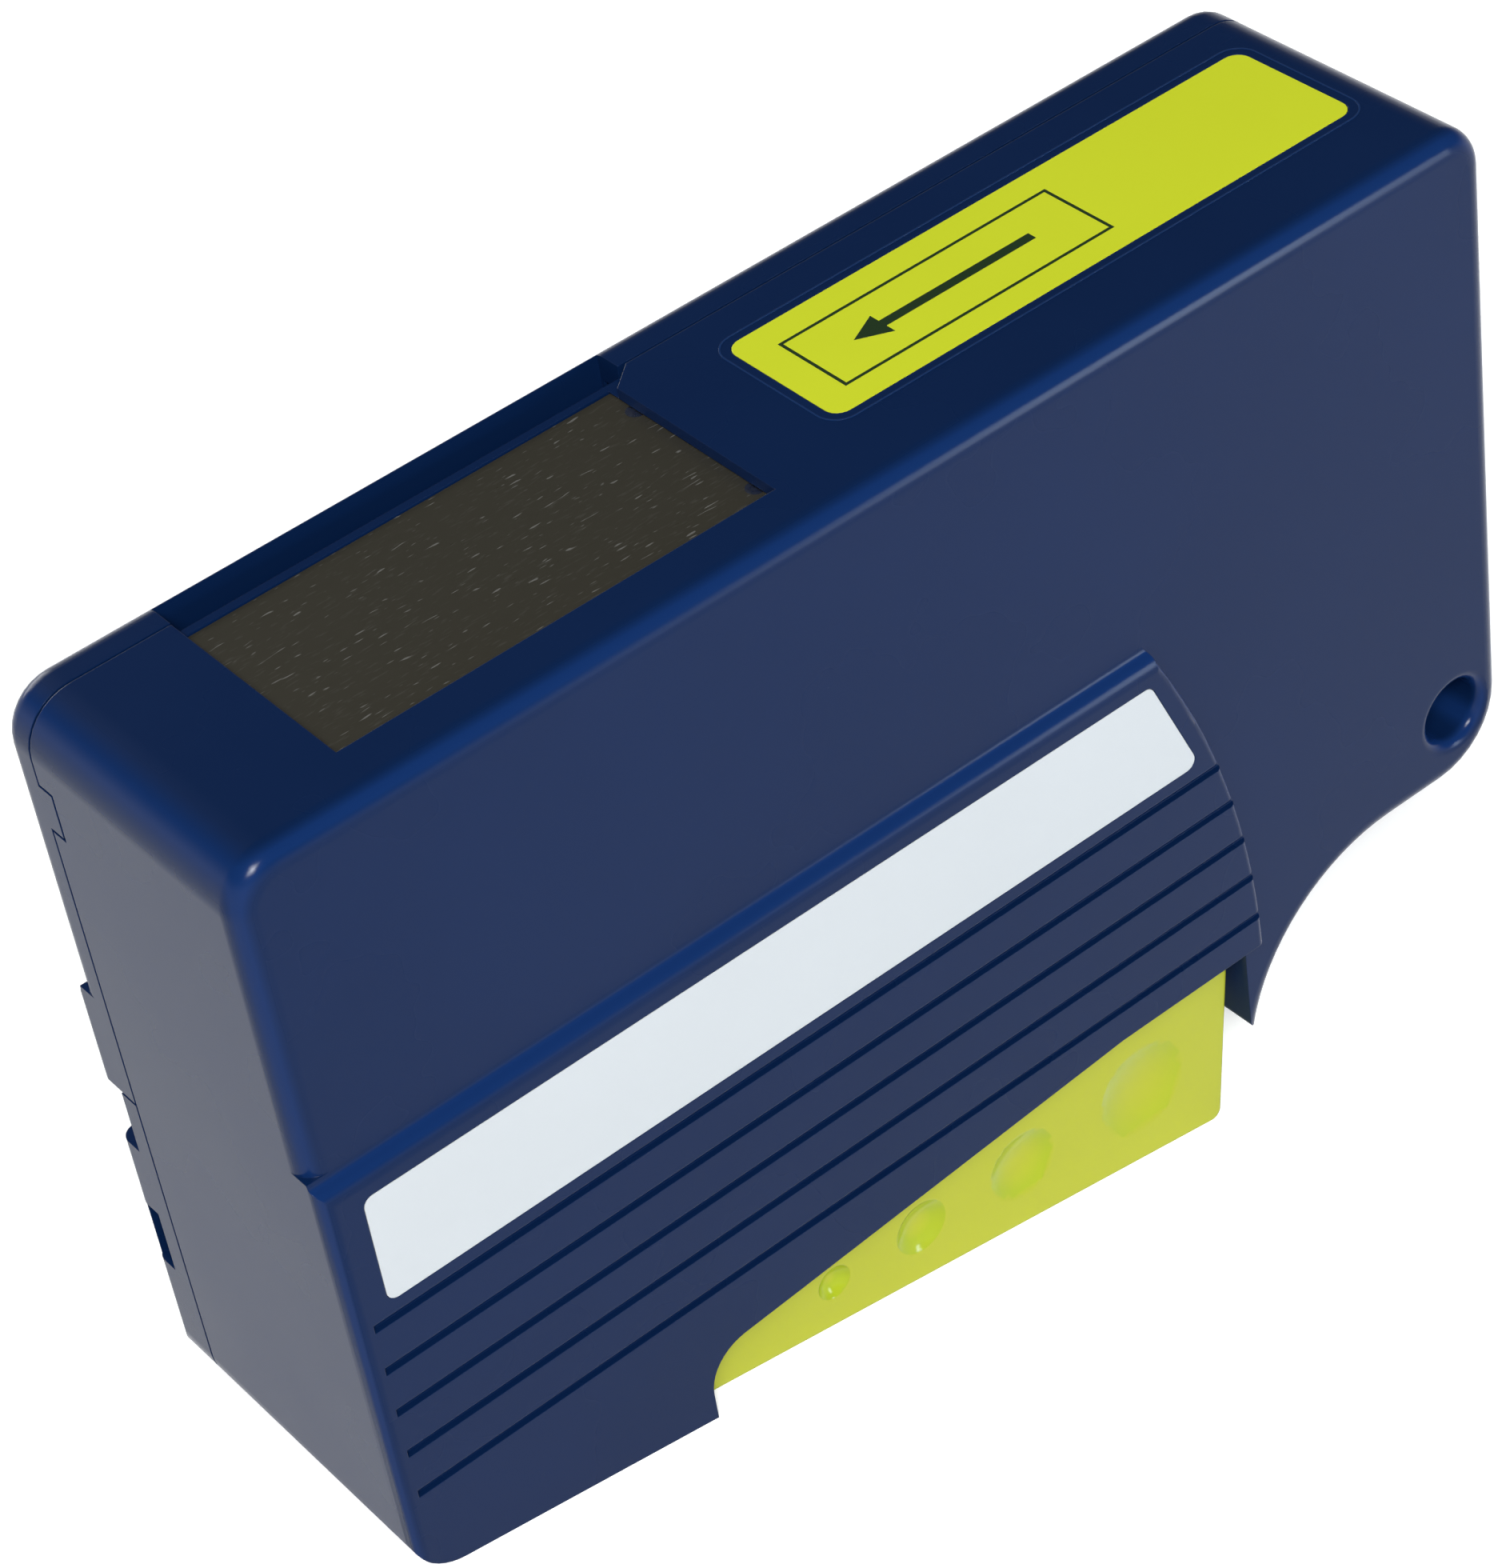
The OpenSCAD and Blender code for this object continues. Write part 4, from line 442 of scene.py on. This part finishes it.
# The bright ones come from another place in the noise, so that they lie apart from the faint ones.
deep_map = add(tree, "ShaderNodeMapping",
               {"Location": (0.3, 0.1, 0.2), "Rotation": (0, LEAN, math.radians(-19)),
                "Scale": (0.07, 1.0, 1.0)},
               {"Vector": coords.outputs["Object"]}, (-1400, -400))
deep_noise = add(tree, "ShaderNodeTexNoise", {"Scale": 1.0 / (SCRATCH_MM * MM), "Detail": 0.0},
                 {"Vector": deep_map.outputs["Vector"]}, (-1200, -400))
deep = add(tree, "ShaderNodeMapRange", {"From Min": 0.75, "From Max": 0.82, "To Max": 0.7},
           {"Value": deep_noise.outputs["Fac"]}, (-950, -400))
scratched = add(tree, "ShaderNodeMath", {"operation": "MAXIMUM"},
                {0: faint.outputs["Result"], 1: deep.outputs["Result"]}, (-750, -200))
tone = add(tree, "ShaderNodeMix",
           {"data_type": "RGBA", "A": linear("#524F44"), "B": linear("#A9A8A2")},
           {"Factor": scratched.outputs["Value"]}, (-550, 150))
gloss = add(tree, "ShaderNodeMapRange", {"To Min": 0.24, "To Max": 0.38},
            {"Value": brush.outputs["Fac"]}, (-550, -50))
bump = add(tree, "ShaderNodeBump", {"Strength": 0.15, "Distance": 0.01 * MM},
           {"Height": brush.outputs["Fac"]}, (-550, -300))
shader = add(tree, "ShaderNodeBsdfPrincipled", {"Metallic": 0.5},
             {"Base Color": tone.outputs["Result"], "Roughness": gloss.outputs["Result"],
              "Normal": bump.outputs["Normal"]}, (-200, 0))
add(tree, "ShaderNodeOutputMaterial", {}, {"Surface": shader.outputs[0]}, (100, 0))
print("shutter sheet of", len(tree.nodes), "nodes, scratches", SCRATCH_MM, "mm wide")

# %% [markdown]
# The labels are polyester film with a satin coat, the brake washer is pressed felt and the pad is
# soft rubber. None is moulded ABS, but to the eye they differ from it only in colour, grain and
# gloss, so the plastic's nodes serve for them too, with a coarse deep grain for the felt.

# %% Films, felt and rubber
# Film is smooth and evenly coloured, and the ink on it dries to the same satin.
white_film = plastic("printed_white_film", "#E2E6E8", rough=0.35, grain=0.03, tint=0.02, edge_mm=0.1)
yellow_film = plastic("printed_yellow_film", "#E8F42A", rough=0.38, grain=0.03, tint=0.02,
                      edge_mm=0.1)
label_ink = plastic("dark_green_ink", "#1F3A1A", rough=0.4, grain=0.03, edge_mm=0.02)
# Rubber is matt and nearly black. Felt has no gloss, and its tufts are about 0.5 mm across.
rubber = plastic("soft_rubber", "#222326", rough=0.7)
felt = plastic("pressed_felt", "#7A2E2A", rough=0.95, grain_mm=0.5, grain=0.6, tint=0.25,
               edge_mm=0.2, specular=0.1)

# %% [markdown]
# The cleaning tape is woven from microfibre, which looks matt and soft, with a faint sheen at a low
# angle. Threads could be modelled one by one on a cloth that fills the view, but this tape is 14 mm
# wide and mostly hidden. Two wave patterns at right angles give the weave as a bump.

# %% Woven microfibre
# The real threads are 0.05 mm apart, too fine to show, so they are drawn 0.79 mm apart. A wave
# texture has twenty radians to a unit, which gives the scale for a wanted distance.
THREAD_MM = 0.789
WAVE_RADIANS = 20
thread_scale = math.tau / WAVE_RADIANS / (THREAD_MM * MM)

microfibre, tree = new_material("woven_microfibre")
coords = add(tree, "ShaderNodeTexCoord", place=(-1200, 0))
warp = add(tree, "ShaderNodeTexWave", {"bands_direction": "X", "Scale": thread_scale},
           {"Vector": coords.outputs["Object"]}, (-950, 150))
weft = add(tree, "ShaderNodeTexWave", {"bands_direction": "Y", "Scale": thread_scale},
           {"Vector": coords.outputs["Object"]}, (-950, -150))
weave = add(tree, "ShaderNodeMath", {"operation": "ADD"},
            {0: warp.outputs["Fac"], 1: weft.outputs["Fac"]}, (-700, 0))
bump = add(tree, "ShaderNodeBump", {"Strength": 0.4, "Distance": 0.05 * MM},
           {"Height": weave.outputs["Value"]}, (-450, -200))
shader = add(tree, "ShaderNodeBsdfPrincipled",
             {"Base Color": linear("#F1F1EC"), "Roughness": 0.9, "Sheen Weight": 0.3},
             {"Normal": bump.outputs["Normal"]}, (-200, 0))
add(tree, "ShaderNodeOutputMaterial", {}, {"Surface": shader.outputs[0]}, (100, 0))
print("microfibre threads drawn", THREAD_MM, "mm apart, at scale", round(thread_scale, 1))

# %% [markdown]
# Most CAD nodes have the right shape already and only need their finish. It could be chosen node
# by node, but the record already names a material slot for each, so one table from slot to
# material dresses all of them and can't disagree with the record.

# %% Finish of each CAD node
slot_finish = {
    "navy_shell": navy_abs,
    "green_lever": green_abs,
    "white_label": white_film,
    "yellow_label": yellow_film,
    "shutter_steel": shutter_metal,
    "steel": steel,
    "spring_steel": spring_steel,
    "natural_plastic": natural_acetal,
    "grey_plastic": grey_abs,
    "clear_reel": reel_plastic,
    "brass": brass,
    "cleaning_cloth": microfibre,
    "felt": felt,
    "rubber_pad": rubber,
    "dark_plastic": dark_abs,
}
node_slot = {part["node"]: part["material_slot"] for part in frame["record"]["subparts"]}
for name, piece in nodes.items():
    piece.data.materials.clear()
    piece.data.materials.append(slot_finish[node_slot[name]])
print("finished", len(nodes), "nodes in", len(set(node_slot.values())), "materials")

# %% [markdown]
# The shells and the lever have rounded edges, but a CAD mesh is loose flat triangles, so a fillet
# shows its facets. A subdivision surface would round them, and would pull the flat faces out of
# true as well. So a copy of each node is merged into one skin with the same shape, and only its
# shading is smoothed, across edges where the faces meet at a shallow angle. The copy then stands
# for the node.

# %% Smooth copies of CAD nodes
WELD_MM, SPECK_MM = 0.002, 0.001
FLAT_ANGLE, SHARP_ANGLE = math.radians(0.2), math.radians(28)


def body_of(node):
    """Name of the CAD body that a node belongs to."""
    bodies = frame["record"]["behaviour"]["bodies"]
    return next(body for body, members in bodies.items() if node in members)


def smooth_copy(node, name, material):
    """A merged, smooth-shaded copy of a CAD node that stands for it."""
    mesh = nodes[node].data.copy()
    mesh.name = name
    bm = bmesh.new()
    bm.from_mesh(mesh)
    bmesh.ops.remove_doubles(bm, verts=bm.verts, dist=WELD_MM * MM)
    bmesh.ops.dissolve_degenerate(bm, dist=SPECK_MM * MM, edges=bm.edges)
    bmesh.ops.dissolve_limit(bm, angle_limit=FLAT_ANGLE, verts=bm.verts, edges=bm.edges)
    for face in bm.faces:
        face.smooth = True
    for edge in bm.edges:
        edge.smooth = edge.is_manifold and edge.calc_face_angle(0) < SHARP_ANGLE
    bm.to_mesh(mesh)
    bm.free()
    # The CAD mesh brings normals of its own, which would hide the smoothing.
    if "custom_normal" in mesh.attributes:
        mesh.attributes.remove(mesh.attributes["custom_normal"])
    mesh.materials.clear()
    mesh.materials.append(material)
    piece = put(name, mesh)
    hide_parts(node)
    print(name, len(mesh.polygons), "faces")
    return piece


# %% [markdown]
# Smooth shading alone bends the light right across a flat face that ends in a fillet, as if the
# face were hollow. Marking the face's edges sharp would mend that and bring the facets back. A
# Weighted Normal modifier lets the large faces decide how their corners are lit, so a wall stays
# flat and the fillet takes all of the turn.

# %% Skins of the shells and the lever


def smooth_skin(node, name, material):
    """A smooth copy whose big flat faces stay flat, moving with the node's body."""
    piece = smooth_copy(node, name, material)
    weigh = piece.modifiers.new("face_weight", "WEIGHTED_NORMAL")
    weigh.keep_sharp = True
    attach(piece, body_of(node))


smooth_skin("front_housing", "front_shell_skin", navy_abs)
smooth_skin("rear_grip", "rear_grip_skin", navy_abs)
smooth_skin("rear_door", "rear_door_skin", navy_abs)
smooth_skin("lever", "lever_skin", green_abs)

# %% [markdown]
# Three springs bend as the tool works: the two leaf springs behind the pawls and the leg of the coil
# that pushes the lever out. An armature could bend them, but each has only two things to follow. Here
# each is a smooth copy of its node, with its place baked into its mesh.

# %% Smooth copies of the springs


def bending_spring(node):
    """A smooth copy of a spring node, with its place baked into its mesh."""
    piece = smooth_copy(node, node + "_bent", spring_steel)
    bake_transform(piece)


bending_spring("drive_pawl_spring")
bending_spring("holding_pawl_spring")
bending_spring("lever_spring")

# %% [markdown]
# Two kinds of detail lie on the top face as layers thinner than a hair: ink on the label, and a
# moulded line round it. A bump could fake both, but it vanishes at the edge of a shape. So each is
# drawn flat in the case's own millimetres, given a thickness, and stood up with the case.

# %% Thin layers on the case


def raise_faces(bm, faces, height):
    """Gives flat faces a thickness, by a second layer above them."""
    raised = bmesh.ops.extrude_face_region(bm, geom=faces, use_keep_orig=True)["geom"]
    top = [v for v in raised if isinstance(v, bmesh.types.BMVert)]
    bmesh.ops.translate(bm, verts=top, vec=(0, 0, height))


def on_case(bm, name, material):
    """Places a mesh drawn in the flat case's millimetres as a piece of the front housing."""
    bmesh.ops.recalc_face_normals(bm, faces=bm.faces)
    bmesh.ops.transform(bm, matrix=STAND, verts=bm.verts)
    mesh = bpy.data.meshes.new(name)
    bm.to_mesh(mesh)
    bm.free()
    mesh.materials.append(material)
    piece = put(name, mesh)
    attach(piece, "housing")
    print(name, len(mesh.polygons), "faces")


# %% [markdown]
# The print on the top label is an arrow that points to the window, in a thin frame. It could be a
# picture on the label, but a picture has pixels and needs a file. Ink is a layer, so each outline
# is a face that is raised into one, just proud of the film, and it stays sharp from any distance.

# %% Print on the top label
# Places and sizes are in millimetres of the flat case.
FRAME_X, FRAME_Y = (69.4, 98.7), (12.1, 20.8)
# The real line is about 0.2 mm wide, and is drawn wider so that it shows.
LINE = 0.32
ARROW_TIP, ARROW_NECK, ARROW_TAIL, ARROW_Y = 73.9, 77.0, 93.4, 16.45
SHAFT_HALF, HEAD_HALF = 0.5, 1.6
# The ink starts under the film's face, so that no gap shows, and ends 0.015 mm above it.
INK_UNDER, INK_T = 0.01, 0.025


def print_shape(name, outlines):
    """A thin layer of ink on the top label, from outlines in the flat case's x and y."""
    bm = bmesh.new()
    faces = [bm.faces.new([bm.verts.new((x, y, -INK_UNDER)) for x, y in line]) for line in outlines]
    raise_faces(bm, faces, INK_T)
    on_case(bm, name, label_ink)


def bar(x0, y0, x1, y1):
    """The outline of a rectangle between two corners."""
    return [(x0, y0), (x1, y0), (x1, y1), (x0, y1)]


left, right = FRAME_X
low, high = FRAME_Y
print_shape("label_frame", [
    bar(left, low, right, low + LINE),
    bar(left, high - LINE, right, high),
    bar(left, low + LINE, left + LINE, high - LINE),
    bar(right - LINE, low + LINE, right, high - LINE),
])
print_shape("label_arrow", [
    bar(ARROW_NECK, ARROW_Y - SHAFT_HALF, ARROW_TAIL, ARROW_Y + SHAFT_HALF),
    [(ARROW_TIP, ARROW_Y), (ARROW_NECK, ARROW_Y - HEAD_HALF), (ARROW_NECK, ARROW_Y + HEAD_HALF)],
])

# %% [markdown]
# A fine moulded line runs round the top label about a millimetre outside it, the rim of the flat that
# the label was stuck on. A bent curve with a round profile would do for a wire, but this line is flat.
# So it is a rounded rectangle, inset to a narrow ring and raised by a few hundredths of a millimetre.
# It is drawn in a lighter navy, a painted highlight for the light that it catches.

# %% Moulded line round the top label
LABEL_X, LABEL_Y = (66.1, 124.0), (9.35, 23.85)
# How far outside the label the line runs, how wide and high it is, how round its corners are, and
# how far under the top face it starts.
RIM_OUT, RIM_W, RIM_H, RIM_CORNER, RIM_UNDER = 0.95, 0.16, 0.04, 2.3, 0.02

bm = bmesh.new()
bmesh.ops.create_grid(bm, x_segments=1, y_segments=1, size=0.5)
width = LABEL_X[1] - LABEL_X[0] + 2 * RIM_OUT
depth = LABEL_Y[1] - LABEL_Y[0] + 2 * RIM_OUT
bmesh.ops.scale(bm, vec=(width, depth, 1), verts=bm.verts)
bmesh.ops.bevel(bm, geom=bm.verts, offset=RIM_CORNER, offset_type="OFFSET", affect="VERTICES",
                segments=8, profile=0.5, material=-1)
bmesh.ops.inset_region(bm, faces=bm.faces, thickness=RIM_W, use_boundary=True, use_even_offset=True)
# The inner face is the largest, and without it the ring is left.
bmesh.ops.delete(bm, geom=[max(bm.faces, key=lambda f: f.calc_area())], context="FACES")
raise_faces(bm, bm.faces[:], RIM_H + RIM_UNDER)
bmesh.ops.translate(bm, verts=bm.verts, vec=(sum(LABEL_X) / 2, sum(LABEL_Y) / 2, -RIM_UNDER))
print("ring", round(width, 2), "by", round(depth, 2), "mm")
on_case(bm, "label_rim", rim_highlight_abs)
